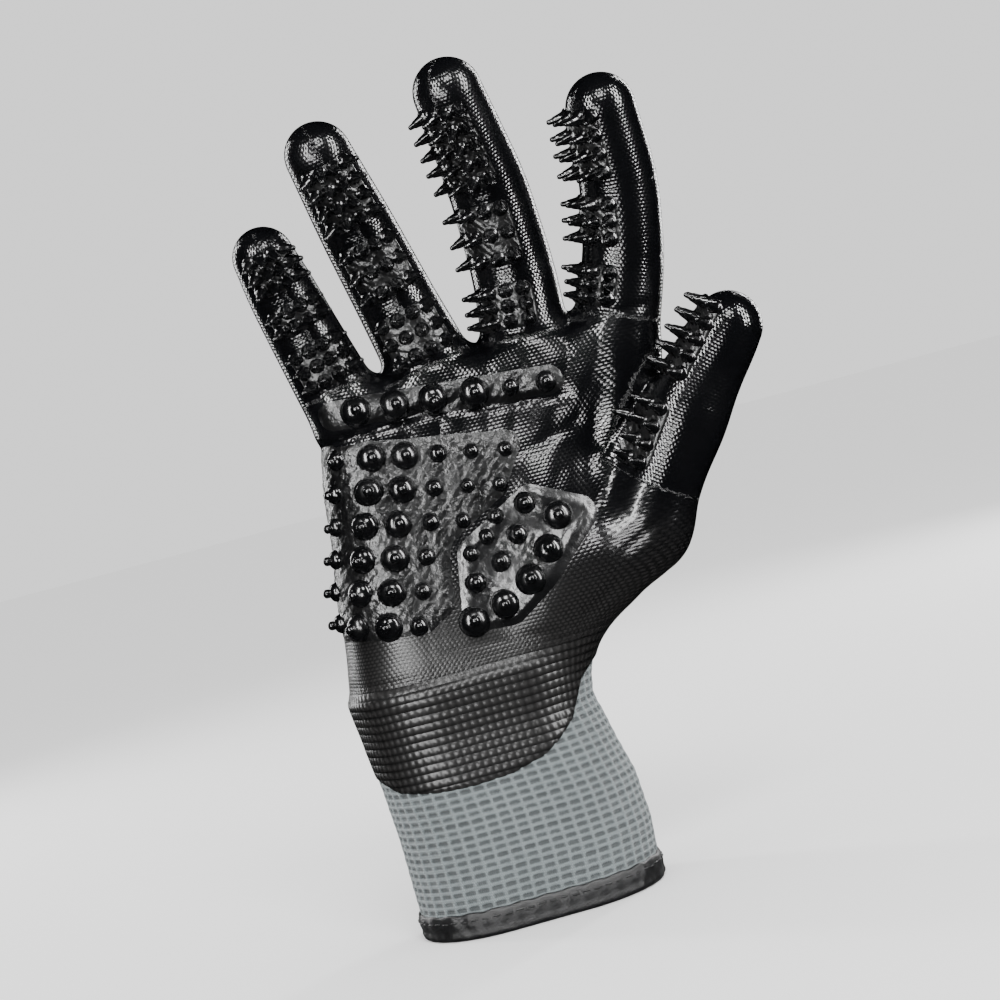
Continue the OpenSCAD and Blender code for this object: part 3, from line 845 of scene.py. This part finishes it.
# The liner seen through the hand opening
lf = Q[((which[Q] == -1) | (along[Q] < 2)).all(1) & (V[Q][:, :, 2] > 64).all(1)]
lv, lf, ln = compact(V - N * 1.3, lf, -N)
piece("liner_hand", lv, lf[:, ::-1], LINER, "hand", normals=ln)


# ------------------------------------------------------------------ the ribbed cuff
SLIT_AT, SLIT_TOP, HEM_H = math.radians(35), 50.0, 7.0


def outline(u, z):
    """Point and outward normal at u turns round the cuff at height z, from the thumb end counter-clockwise."""
    cx, w, dep = cuff_section(z)
    flat = w - dep
    total = 2 * math.pi * dep + 4 * flat
    s = np.mod(u, 1.0) * total
    q = math.pi * dep / 2
    x, y, nx, ny = (np.zeros_like(s) for _ in range(4))
    for lo, kind in ((0, 0), (q, 1), (q + 2 * flat, 2), (3 * q + 2 * flat, 3), (3 * q + 4 * flat, 4)):
        k = s >= lo
        r = (s - lo) / dep
        if kind in (0, 2, 4):
            a = r + {0: 0, 2: math.pi / 2, 4: 1.5 * math.pi}[kind]
            side = -flat if kind == 2 else flat
            x = np.where(k, side + dep * np.cos(a), x)
            y = np.where(k, dep * np.sin(a), y)
            nx, ny = np.where(k, np.cos(a), nx), np.where(k, np.sin(a), ny)
        elif kind == 1:
            x, y = np.where(k, flat - (s - lo), x), np.where(k, dep, y)
            nx, ny = np.where(k, 0, nx), np.where(k, 1, ny)
        else:
            x, y = np.where(k, -flat + (s - lo), x), np.where(k, -dep, y)
            nx, ny = np.where(k, 0, nx), np.where(k, -1, ny)
    z = z + 0 * s
    return np.stack([x + cx, y, z], -1), np.stack([nx, ny, 0 * z], -1)


def shoot(origin, direction, level=0.0, start=None, rounds=7):
    """Where each ray meets the glove's surface at a level above it."""
    t = np.zeros(len(origin)) if start is None else np.array(start, float)
    for _ in range(rounds):
        t = t - 0.9 * (field(origin + direction * t[:, None]) - level)
    return origin + direction * t[:, None], t


# The cuff's girth in mm, and the slit's place round it in turns
_, half_w, half_d = cuff_section(20.0)
TOTAL = float(2 * math.pi * half_d + 4 * (half_w - half_d))
SLIT_U = 23.0 * SLIT_AT / TOTAL
CELLS_U, CELLS_V, CELL_H, CELLS_FROM = 50, 34, 2.06, 1.0


def cuff_grid(nu, nv, z_top, level, gap):
    """A grid round the cuff at a level off its surface, and its faces less the slit's."""
    uu, zz = np.meshgrid((np.arange(nu) + 0.5) / nu + SLIT_U, np.linspace(CELLS_FROM, z_top, nv), indexing="ij")
    u, z = uu.ravel(), zz.ravel()
    p, n = outline(u, z)
    p, _ = shoot(p, n, level, rounds=6)
    f = grid_faces(nu, nv, True)
    col = np.arange(len(f)) // (nv - 1)
    in_slit = ((col < gap) | (col >= nu - gap - 1)) & (z[f].mean(1) < SLIT_TOP)
    return u, z, p, n, f[~in_slit]


def cuff():
    per_u, per_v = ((10, 7))
    u, z, p, n, f = cuff_grid(CELLS_U * per_u, CELLS_V * per_v + 1, CELLS_FROM + CELLS_V * CELL_H, 0.0, 2)
    round_at, up_at = (u - SLIT_U) * CELLS_U, (z - CELLS_FROM) / CELL_H
    a, b = np.mod(round_at, 1) - 0.5, np.mod(up_at, 1) - 0.5
    # This mask marks the waffle's pits: the surface is pressed in there, and the knit_rib material paints them
    # dark as shade.
    pit_and_shade = (1 - step(np.abs(a), 0.26, 0.54)) * (1 - step(np.abs(b), 0.04, 0.54))
    pit_and_shade *= 0.86 + 0.14 * np.sin(np.floor(round_at) * 12.9898 + np.floor(up_at) * 78.233)
    ribs = 0.0875 * np.cos(2 * np.pi * b) - 0.096 * np.cos(2 * np.pi * a)
    wob = 0.10 * np.sin(u * 2 * np.pi * 13 + z) * np.sin(z * 0.7 + u * 40)
    h = 0.12 - 0.75 * pit_and_shade + ribs + wob
    fade = step(z, SEAM_Z, SEAM_Z + 3)
    h = h * (1 - fade) - 0.7 * fade
    under = dip_mask(p, np.full(len(p), -1), 0 * z, 0 * z)
    h = np.where(under > 0.2, np.minimum(h, 0.0) * 0.6 - 0.1, h)
    # Where the dip covers the knit, the pits get no painted shade.
    v, f, pit_and_shade, ku, kv = compact(p + n * h[:, None], f, pit_and_shade * (under < 0.3), (u - SLIT_U) * TOTAL, z)
    ob = make("cuff_rib_knit", v, f, WAFFLE.mat, {"pit_and_shade": pit_and_shade, "ku": ku, "kv": kv}, vertex_normals(v, f))
    finish_piece(ob, WAFFLE, "hand", "knit_cuff")
    # the inside
    _, _, p, _, f = cuff_grid(150, 40, 70.0, -1.5, 1)
    v, f = compact(p, f)
    piece("cuff_lining", v, f[:, ::-1], LINER, "hand", normals=-vertex_normals(v, f))


cuff()


def tube(path, radius, sides, ripple=0.0, pitch=3.0):
    """A closed tube with rounded ends along a path, with puckers."""
    path = np.asarray(path, float)
    d = np.gradient(path, axis=0)
    d /= np.linalg.norm(d, axis=1)[:, None]
    a = np.cross(d, [0.3, 0.8, 0.1])
    a /= np.linalg.norm(a, axis=1)[:, None]
    b = np.cross(d, a)
    s = np.concatenate([[0], np.cumsum(np.linalg.norm(np.diff(path, axis=0), axis=1))])
    th = np.linspace(0, 2 * np.pi, sides, endpoint=False)
    rad = np.asarray(radius, float) * np.ones(len(path))
    rad = rad * rounded(np.minimum(s, s[-1] - s) / rad.max(), 0.02)
    puckers = np.sin(2 * np.pi * s / pitch)[:, None] * (0.6 + 0.4 * np.cos(th * 2 + s[:, None] * 0.3))
    puckers = puckers + 0.4 * np.sin(2 * np.pi * s / (pitch * 0.37) + 1)[:, None] * np.sin(th * 3)
    r = rad[:, None] * (1 + ripple * puckers)
    p = path[:, None] + a[:, None] * (r * np.cos(th))[..., None] + b[:, None] * (r * np.sin(th))[..., None]
    n = len(path)
    k = np.arange(sides)
    k2, last = (k + 1) % sides, (n - 1) * sides
    ends = [np.stack([np.full(sides, n * sides), k2, k], 1),
            np.stack([np.full(sides, n * sides + 1), last + k, last + k2], 1)]
    return (np.concatenate([p.reshape(-1, 3), path[:1], path[-1:]]),
            np.concatenate([triangles(ring_faces(n, sides))] + ends))


# ------------------------------------------------------------------ hem, slit and their stitches
def hem():
    nu = 520
    prof = [(0.25, HEM_H + 0.25), (0.7, HEM_H + 0.15), (0.95, HEM_H - 0.4)]
    prof += [(1.0 + 0.12 * math.sin(k), z) for k, z in enumerate(np.linspace(HEM_H - 1.1, 1.5, 7))]
    prof += [(0.85, 0.8), (0.45, 0.25), (-0.3, 0.0), (-1.2, 0.0), (-1.9, 0.3), (-2.3, 0.9)]
    prof += [(-2.4, z) for z in np.linspace(1.8, HEM_H - 0.5, 5)] + [(-2.1, HEM_H), (-1.5, HEM_H + 0.2)]
    prof = np.array(prof)
    u = np.linspace(SLIT_U + 2.2 / TOTAL, SLIT_U + 1 - 2.2 / TOTAL, nu)
    uu = np.repeat(u, len(prof))
    off, z = np.tile(prof[:, 0], nu), np.tile(prof[:, 1], nu)
    p, n = outline(uu, np.full(len(z), 3.0))
    mm = uu * TOTAL
    puck = 0.10 * np.sin(mm * 1.35) * np.sin(z * 0.8 + 0.5)
    puck = puck + 0.13 * np.sin(mm * 0.61 + np.sin(mm * 0.17) * 2) * (z > 0.6)
    puck = puck + 0.22 * step(p[:, 1], 0, 12) * np.sin(mm * 1.05 + z * 0.5) * (z > 0.6)
    q = p + n * (off + np.where(off > 0, puck, 0))[:, None]
    q[:, 2] = np.maximum(z + np.where(z > 4, 0.18 * np.sin(mm * 0.9), 0), 0)
    piece("hem_binding_band", q, grid_faces(nu, len(prof), False), BINDING, "hand", "hem_binding")
    parts = []
    for u0 in np.arange(SLIT_U * TOTAL + 5, (SLIT_U + 1) * TOTAL - 5, 3.1):
        t = np.linspace(-1.05, 1.05, 7)
        c, nn = outline((u0 + t) / TOTAL, np.full(7, 3.0))
        c = c + nn * (1.16 + 0.16 * np.cos(t / 1.05 * math.pi / 2))[:, None]
        c[:, 2] = HEM_H - 1.7 + 0.10 * math.sin(u0)
        parts.append(tube(c, 0.24, 6))
    piece("hem_stitches", *join(parts), THREAD, "hand", "hem_thread")


hem()


def slit():
    parts = []
    z = np.linspace(0.6, SLIT_TOP + 1.5, 110)
    w = np.interp(z, [0, 8, SLIT_TOP - 6, SLIT_TOP + 1.5], [2.3, 2.2, 1.9, 0.5])
    for side, level in ((1, 0.35), (-1, 0.7)):
        p, n = outline(SLIT_U + side * w / TOTAL, z)
        q, _ = shoot(p, n, level, rounds=6)
        parts.append(tube(q, 2.0 + 0.15 * np.sin(z * 0.5), 20, 0.10, 2.3))
    piece("slit_binding_roll", *join(parts), BINDING, "hand", "slit_binding")


slit()


# ------------------------------------------------------------------ the strap
S_LOW, S_W, S_T, S_FROM, S_TO, TAIL, TAIL_R = 13.5, 31.0, 2.0, 54.0, 112.0, 13.0, 12.0
FLAT, PATCH_R = 10.0, 24.2
HOOK_R = PATCH_R + 0.3
STRAP_R = HOOK_R + 0.7
S_OUT = STRAP_R + S_T


def strap_bends(start):
    """Where along the strap its first arc, its flat and its second arc end, measured on its outside."""
    flat_from = (math.pi / 2 - math.radians(start)) * S_OUT
    return flat_from, flat_from + 2 * FLAT, flat_from + 2 * FLAT + math.radians(S_TO - 90) * S_OUT


STRAP_LEN = strap_bends(S_FROM)[2] + TAIL
STRAP_MID = strap_bends(S_FROM)[0] + FLAT


def strap_points(s, w, r, start=S_FROM):
    """Points s mm along the strap, w mm above its middle and at radius r."""
    l1, l2, l3 = strap_bends(start)
    s = np.asarray(s, float)
    second = np.minimum(math.pi / 2 + (s - l2) / S_OUT, math.radians(S_TO))
    a = np.where(s < l1, math.radians(start) + s / S_OUT, np.where(s < l2, math.pi / 2, second))
    cx = np.where(s < l1, FLAT, np.where(s < l2, FLAT - (s - l1), -FLAT))
    past = np.maximum(s - l3, 0)
    x, y = cx + r * np.cos(a) - past * np.sin(a), r * np.sin(a) + past * np.cos(a)
    return np.stack([x, y, S_LOW + S_W / 2 + w], -1)


def half_width(s):
    x = np.clip(s - (STRAP_LEN - TAIL_R), 0, TAIL_R)
    return S_W / 2 - (TAIL_R - np.sqrt(np.maximum(TAIL_R ** 2 - x ** 2, 0)))


def band(name, shader, s0, s1, inset, r_in, r_out, body, nodes, groove=False, start=S_FROM, round_tail=True):
    """A closed curved sheet from s0 to s1 along the strap, with rounded edges."""
    ns, nt = max(8, int((s1 - s0) / 0.7)), 64
    ss, t = np.meshgrid(s0 + (s1 - s0) * np.linspace(0, 1, ns), np.linspace(-1, 1, nt), indexing="ij")
    hw = half_width(ss) - inset if round_tail else np.full_like(ss, S_W / 2 - inset)
    hw = np.maximum(hw, 0.2)
    w = t * hw
    from_edge = np.minimum(hw - np.abs(w), np.minimum(ss - s0 + 0.3, (s1 - ss) + (0 if round_tail else 0.3)))
    ebump = rounded(from_edge / 0.9)
    mid = (r_in + r_out) / 2
    top = mid + (r_out - mid) * ebump
    if groove:
        top = top - 0.32 * np.exp(-((from_edge - 2.7) / 0.55) ** 2) + 0.12 * step(from_edge, 3.2, 6)
        top = top - 0.3 * np.exp(-((ss - 9.0) / 0.5) ** 2) * (from_edge > 2.7)
    bottom = mid - (mid - r_in) * ebump
    v = np.concatenate([strap_points(ss, w, r, start).reshape(-1, 3) for r in (top, bottom)])
    f = grid_faces(ns, nt, False)
    m = ns * nt
    left, far = np.arange(ns) * nt, (ns - 1) * nt + np.arange(nt)
    loop = np.concatenate([np.arange(nt), (left + nt - 1)[1:], far[::-1][1:], left[::-1][1:-1]])
    nxt = np.roll(loop, -1)
    side = np.stack([loop, nxt, nxt + m, loop + m], 1)
    piece(name, v, np.concatenate([f[:, ::-1], f + m, side]), shader, body, *nodes)


def strap_stitches():
    """Stitches round the border, and across near the sewn end."""
    parts = []

    def stitch(s_a, s_b, w_a, w_b):
        t = np.linspace(0, 1, 6)
        r = S_OUT - 0.20 + 0.16 * np.sin(t * math.pi)
        parts.append(tube(strap_points(s_a + (s_b - s_a) * t, w_a + (w_b - w_a) * t, r), 0.23, 6))

    pts = [(s, float(half_width(s)) - 2.7) for s in np.arange(3.0, STRAP_LEN - TAIL_R, 0.4)]
    r, c = TAIL_R - 2.7, STRAP_LEN - TAIL_R
    pts += [(c + r * math.sin(a), S_W / 2 - TAIL_R + r * math.cos(a)) for a in np.linspace(0, math.pi / 2, 30)]
    pts = np.array(pts + [(s, -w) for s, w in pts[::-1]])
    d = np.concatenate([[0], np.cumsum(np.linalg.norm(np.diff(pts, axis=0), axis=1))])
    for a in np.arange(0.5, d[-1] - 2, 2.7):
        q = [np.interp([a, a + 1.75], d, pts[:, k]) for k in (0, 1)]
        stitch(*q[0], *q[1])
    for w in np.arange(-11.6, 11.4, 2.7):
        stitch(9.0, 9.0, w, w + 1.75)
    piece("strap_stitches", *join(parts), THREAD, "strap", "strap_thread")


def strap_motif():
    """A plain printed decoration: a bar and three dots."""
    parts = []
    turn = np.linspace(-math.pi / 2, math.pi / 2, 14)
    dots = [(-11, w, 4.6, 2.3) for w in (-6.2, 0, 6.2)]
    for s0, w0, length, half in [(15, 0, 26, 2.6)] + dots:
        ds, dw = length / 2 - half + half * np.cos(turn), half * np.sin(turn)
        edge = np.array([STRAP_MID + s0, w0]) + np.concatenate([np.stack([ds, dw], 1), -np.stack([ds, dw], 1)])
        c, n = edge.mean(0), len(edge)
        rings = [(c + (edge - c) * k, rise)
                 for k, rise in ((0.001, 0.3), (0.35, 0.3), (0.7, 0.3), (0.93, 0.3), (1.0, -0.08))]
        i = np.arange(len(rings) - 1) * n
        close = np.stack([i + n - 1, i + 2 * n - 1, i + n, i], 1)
        parts.append((np.concatenate([strap_points(*q.T, S_OUT + rise) for q, rise in rings]),
                      np.concatenate([grid_faces(len(rings), n, False), close])))
    piece("strap_motif", *join(parts), PRINT, "strap", "strap_print")


def loop_patch():
    nu, nv, flat = 110, 44, 6 + FLAT
    line = np.linspace(0, 1, nu) * (flat + math.radians(S_TO + 12 - 90) * PATCH_R)
    z = np.linspace(S_LOW + 2, S_LOW + S_W - 2, nv)
    ll, zz = np.meshgrid(line, z, indexing="ij")
    aa = math.pi / 2 + np.maximum(ll - flat, 0) / PATCH_R
    cx = np.maximum(6 - ll, -FLAT)
    edge = np.minimum(np.minimum(zz - z[0], z[-1] - zz), np.minimum(ll, line[-1] - ll))
    rr = 22.9 + 1.25 * rounded(edge / 0.8) + 0.05 * R.standard_normal(aa.shape) * (edge > 0.5)
    p = np.stack([cx + rr * np.cos(aa), rr * np.sin(aa), zz], -1).reshape(-1, 3)
    piece("cuff_loop_patch", p, grid_faces(nu, nv, False)[:, ::-1], LOOP, "hand", "loop_patch")


band("strap_band", LEATHER, 0.0, STRAP_LEN, 0.0, STRAP_R, S_OUT, "strap", ("strap",), True)
band("strap_hook_tape", HOOK, STRAP_MID, STRAP_LEN - 3.0, 3.0, HOOK_R, STRAP_R + 0.1, "strap", ("hook_tape",))
strap_stitches()
strap_motif()
# The sewn end is fixed to the cuff, and ends 0.8 degrees short of the strap
TAB_FROM = 43.0
band("strap_sewn_end", LEATHER, 0.0, math.radians(S_FROM - 0.8 - TAB_FROM) * S_OUT, 0.0, 23.1, S_OUT,
     "hand", ("strap_tab",), False, TAB_FROM, False)
loop_patch()


# ------------------------------------------------------------------ nubs
def revolve(profile, sides):
    """Verts and faces of a turned shape along +Z from a profile of (radius, height)."""
    th = np.linspace(0, 2 * np.pi, sides, endpoint=False)
    v = np.concatenate([np.stack([r * np.cos(th), r * np.sin(th), np.full(sides, h)], 1) for r, h in profile])
    return v, ring_faces(len(profile), sides)


def stand(shape, at, direction, scale=1.0, spin=0.0):
    v, f = shape
    d = direction / np.linalg.norm(direction)
    a = np.cross(d, [0.1, 0.2, 0.97])
    a /= np.linalg.norm(a)
    b = np.cross(d, a)
    c, s = math.cos(spin), math.sin(spin)
    a, b = a * c + b * s, b * c - a * s
    return at + (v[:, :1] * a + v[:, 1:2] * b + v[:, 2:] * d) * scale, f


SIDES = 14
PIN = revolve([(2.35, -0.5), (2.15, 0.05), (1.78, 0.3), (1.55, 0.8), (1.36, 1.6), (1.2, 2.4), (1.06, 3.1),
               (0.86, 3.35), (0.76, 4.0), (0.70, 4.6), (0.55, 4.95), (0.28, 5.12), (0.03, 5.16)], SIDES)


def knob_shape(r):
    h = 0.72 * r
    pts = [(r + 0.5, -0.6), (r + 0.22, 0.0), (r + 0.04, 0.22)]
    pts += [(r * math.cos(a), 0.2 + h * math.sin(a)) for a in np.linspace(0.12, 1.14, 9)]
    k = 1.25 if r > 2.4 else 1.05
    top = 0.2 + h * math.sin(1.14)
    base = r * math.cos(1.14)
    pts += [(k + (base - k) * 0.35, top + 0.10), (k + (base - k) * 0.08, top + 0.32)]
    pts += [(k, top + 0.75)]
    pts += [(k * math.cos(a), top + 0.85 + k * 0.8 * math.sin(a)) for a in (0.25, 0.6, 0.95, 1.3)]
    pts += [(0.03, top + 0.85 + k * 0.8)]
    return revolve(pts, 24)


# Pins (segment, row, place in the row) that are short or left out, so that the fingers can bend
SHORT = [("index_base", 0, 0), ("index_base", 1, 0), ("thumb_base", 3, 1), ("thumb_tip", 0, 0)]
LEFT_OUT = [("thumb_base", 2, 0), ("thumb_base", 3, 0)]
PIN_TURN = 23.0  # degrees between the pins of a row
TOO_FAR = 3.5    # a ray that is this much longer than the finger's radius has run into the palm


def finger_pad(seg, name, part):
    rows, total = seg.rows, seg.length
    row0 = (0.38 if seg.first else 0.5) * seg.r0
    end = min(row0 + (rows - 1) * 5.0, total - 0.7 * seg.r1) if seg.last else total - 0.45 * seg.r1
    pitch = (end - row0) / (rows - 1)
    lo, hi, half = row0 - 2.3, end + 2.3, math.radians(PIN_TURN * 1.5 + 15)
    ns, na = int((hi - lo) / 0.55) + 2, 46
    s, a = np.meshgrid(np.linspace(lo, hi, ns), np.linspace(-half, half, na), indexing="ij")
    s, a = s.ravel(), a.ravel()
    o = seg.at(0, 0, 0) + s[:, None] * seg.m[:3, 2]
    d = np.sin(a)[:, None] * seg.m[:3, 0] - np.cos(a)[:, None] * seg.m[:3, 1]
    r = seg.radius(s)
    dx = np.maximum(np.abs(a) * r - (half * r - 2.5), 0)
    dz = np.maximum(np.maximum(lo + 2.5 - s, s - (hi - 2.5)), 0)
    edge = 2.5 - np.hypot(dx, dz)
    grain = 0.10 * np.sin(s * 2.6 + np.sin(a * 9)) * np.sin(a * 26) + 0.05 * R.standard_normal(len(s))
    level = 0.30 + 0.75 * step(edge, 0.0, 0.9) + grain * step(edge, 0.6, 1.2)
    p, t = shoot(o, d, level, r)
    f = grid_faces(ns, na, False)
    keep = (edge[f].min(1) > -0.15) & ((t - r)[f].max(1) < TOO_FAR)
    p2, f2 = compact(p, f[keep])
    if (vertex_normals(p2, triangles(f2)) * (p2 - o.mean(0))).sum() < 0:
        f2 = f2[:, ::-1]
    pins = []
    for i in range(rows):
        for j in range(4):
            an = math.radians((j - 1.5) * PIN_TURN)
            sv = row0 + i * pitch
            oo = seg.at(0, 0, sv)
            dd = math.sin(an) * seg.m[:3, 0] - math.cos(an) * seg.m[:3, 1]
            q, far = shoot(oo[None], dd[None], 0.95, [seg.radius(sv)])
            tilt, size, spin = dd + 0.05 * R.standard_normal(3), 0.97 + 0.05 * R.random(), R.random() * 6
            if (seg.body, i, j) in LEFT_OUT or far[0] > seg.radius(sv) + TOO_FAR:
                continue
            if (seg.body, i, j) in SHORT:
                size *= 0.5
            pins.append(stand(PIN, q[0], tilt, size, spin))
    piece(f"{name}_pad_{part}", p2, f2, PAD_ROUGH, seg.body)
    piece(f"{name}_pins_{part}", *join(pins), NUB, seg.body, f"{name}_nubs_{part}")


for n in NAMES:
    for k, seg in enumerate(CHAIN[n]):
        finger_pad(seg, n, PART_NAMES[len(CHAIN[n])][k])


def palm_ray(x, z):
    """Rays out of the palm that fan out round its little-finger edge."""
    edge_x, edge_r = -13.5 - 5 * (z - 70) / 70, 23 - 12 * (z - 70) / 70
    a = np.arcsin(np.clip((edge_x - x) / edge_r, 0, 0.985))
    o = np.stack([np.maximum(x, edge_x), np.full_like(x, -1.0), z], 1)
    d = np.stack([-np.sin(a), -np.cos(a), 0 * a], 1)
    return o, d


def outline_distance(x, z, circles):
    """Distance inside the convex outline round some circles."""
    turns = np.linspace(0, 2 * math.pi, 24, endpoint=False)
    pts = np.array([(cx + r * math.cos(t), cz + r * math.sin(t)) for cx, cz, r in circles for t in turns])
    order = pts[np.lexsort((pts[:, 1], pts[:, 0]))]

    def half(seq):
        out = []
        for q in seq:
            while len(out) > 1 and np.cross(out[-1] - out[-2], q - out[-2]) <= 1e-9:
                out.pop()
            out.append(q)
        return out[:-1]
    hull = np.array(half(order) + half(order[::-1]))
    d = np.full(len(x), 1e3)
    for i in range(len(hull)):
        a, b = hull[i], hull[(i + 1) % len(hull)]
        e = b - a
        d = np.minimum(d, ((x - a[0]) * -e[1] + (z - a[1]) * e[0]) / np.linalg.norm(e))
    return d


THENAR_OUT = [(3, 84, 5), (11, 84, 5.5), (21, 90, 5), (35.5, 103, 5), (24, 110, 4), (5, 100, 4)]
HEEL_OUT = [(-25, 132, 6), (22, 126, 4), (15, 119, 4), (-1, 92, 4), (-12, 86, 4), (-40, 90, 5)]
BAR_OUT = [(-20.5, 144, 3.5), (-20.5, 145.5, 3.5), (37, 139.4, 4.5)]


def palm_pad(name, node, distance, box, spots, sheet_mat, grain, rise):
    x0, x1, z0, z1 = box
    h = 0.6
    nx, nz = int((x1 - x0) / h) + 1, int((z1 - z0) / h) + 1
    x, z = np.meshgrid(np.linspace(x0, x1, nx), np.linspace(z0, z1, nz), indexing="ij")
    x, z = x.ravel(), z.ravel()
    m = distance(x, z)
    f = grid_faces(nx, nz, False)
    v2 = np.stack([x, z, 0 * x], 1)
    v2, tri, m, _ = split_at_zero(v2, triangles(f), m, [])
    tri = tri[m[tri].mean(1) > 0]
    v2, tri, m = compact(v2, tri, m)
    o, d = palm_ray(v2[:, 0], v2[:, 1])
    rough = R.standard_normal(len(m)) + 1.5 * np.sin(v2[:, 0] * 1.7) * np.sin(v2[:, 1] * 1.9)
    level = 0.45 + rise * step(m, -0.6, 3.0) + grain * rough * step(m, 0.8, 2.0)
    p, _ = shoot(o, d, level, np.full(len(m), 15.0), 9)
    nn = vertex_normals(p, tri)
    if (nn * d).sum() < 0:
        tri, nn = tri[:, ::-1], -nn
    piece(f"{name}_sheet", p, tri, sheet_mat, "hand", normals=nn)
    parts = []
    for sx, sz, sr in spots:
        o, d = palm_ray(np.array([sx]), np.array([float(sz)]))
        q, _ = shoot(o, d, 0.45 + rise - 0.15, [15.0], 9)
        g = gradient(q)[0]
        g = g / np.linalg.norm(g) * 0.6 + d[0] * 0.4
        parts.append(stand(knob_shape(sr), q[0], g, 1.0, R.random() * 6))
    piece(f"{name}_knobs", *join(parts), NUB, "hand", node)


BAR_X, BAR_R = [-15, -4.5, 6, 17, 27, 36.5], [3.8, 3.8, 3.8, 3.8, 2.2, 2.6]
bar_spots = [(BAR_X[i], 144.5 - 0.1 * (BAR_X[i] + 15), BAR_R[i]) for i in range(6)]
heel_spots = [(-23 - 2.8 * i + (8.8 - 0.2 * i) * j, 133 - 8.6 * i - 1.7 * j, [2.6, 3.7, 3.7, 2.4, 2, 2][j])
              for i in range(6) for j in range([6, 6, 5, 4, 4, 4][i])]
thenar_spots = []
for rad, a0, da, cnt, sr in ((36.5, -83, 14.8, 5, 3.9), (27.5, -74, 18, 4, 2.8), (20.5, -66, 17, 3, 2)):
    for i in range(cnt):
        t = math.radians(a0 + i * da)
        thenar_spots.append((-3.5 + rad * math.cos(t), 118.5 + rad * math.sin(t), sr))
palm_pad("palm_bar", "palm_bar_nubs", lambda x, z: outline_distance(x, z, BAR_OUT),
         (-26, 44, 134, 152), bar_spots, PAD_ROUGH, 0.06, 0.6)
palm_pad("palm_heel", "palm_heel_nubs",
         lambda x, z: np.minimum(outline_distance(x, z, HEEL_OUT), -1.2 - outline_distance(x, z, THENAR_OUT)),
         (-39, 28, 80, 140), heel_spots, PAD_ROUGH, 0.08, 0.55)
palm_pad("thenar", "thenar_nubs", lambda x, z: outline_distance(x, z, THENAR_OUT),
         (-4, 42, 77, 116), thenar_spots, PAD_SMOOTH, 0.03, 0.85)


# ------------------------------------------------------------------ floor, light and camera
white = Shader("floor_white", None)
for socket, value in (("Base Color", (0.9, 0.9, 0.9, 1)), ("Roughness", 0.7), ("Specular IOR Level", 0.2),
                      ("Emission Color", (1, 1, 1, 1)), ("Emission Strength", 0.16)):
    white.put(socket, value)
bpy.ops.mesh.primitive_plane_add(size=40, location=(0, 0, 0))
floor = bpy.context.object
floor.name = "floor"
floor.data.materials.append(white.mat)

world = bpy.data.worlds.new("studio")
bpy.context.scene.world = world
world.use_nodes = True
bg = world.node_tree.nodes["Background"]
bg.inputs[0].default_value = (1, 1, 1, 1)
bg.inputs[1].default_value = 1.25
# Black rubber mirrors only the strip lights, as between a studio's black cards
world.cycles_visibility.glossy = False
floor.visible_glossy = False


def area(name, loc, target, size, power, size_y=None):
    ld = bpy.data.lights.new(name, "AREA")
    ld.energy, ld.size = power, size
    if size_y:
        ld.shape, ld.size_y = "RECTANGLE", size_y
    ob = bpy.data.objects.new(name, ld)
    bpy.context.scene.collection.objects.link(ob)
    ob.visible_camera = False
    ob.location = loc
    ob.rotation_mode = "QUATERNION"
    ob.rotation_quaternion = (Vector(target) - Vector(loc)).to_track_quat("-Z", "Y")
    return ob


for strip in (
    area("strip_left", (-0.50, -0.62, 0.40), (0, 0, 0.13), 0.08, 13, 0.75),
    area("strip_right", (0.66, -0.42, 0.38), (0.02, 0, 0.13), 0.08, 14, 0.75),
    area("front_low", (-0.30, -0.80, 0.05), (0.02, 0, 0.12), 0.25, 5),
):
    strip.visible_diffuse = False
area("front_top", (0.10, -0.75, 0.75), (0.02, 0, 0.10), 0.30, 8)
area("back_left", (-0.6, 0.7, 0.4), (0, 0, 0.12), 0.10, 5, 0.7)
area("back_right", (0.6, 0.7, 0.4), (0, 0, 0.12), 0.10, 5, 0.7)

cam_data = bpy.data.cameras.new("camera")
cam = bpy.data.objects.new("camera", cam_data)
bpy.context.scene.collection.objects.link(cam)
bpy.context.scene.camera = cam
cam_data.sensor_width = 36
cam_data.lens = 85.1
cam_data.clip_start, cam_data.clip_end = 0.05, 30
eye, aim = Vector((-0.0278, -0.650, 0.1236)), Vector((0.0174, 0.0, 0.1113))
back = (eye - aim).normalized()
up = Vector((0.2588, 0, 0.9659))
right = up.cross(back).normalized()
up = back.cross(right)
cam.matrix_world = Matrix([(*right, 0), (*up, 0), (*back, 0), (*eye, 1)]).transposed()
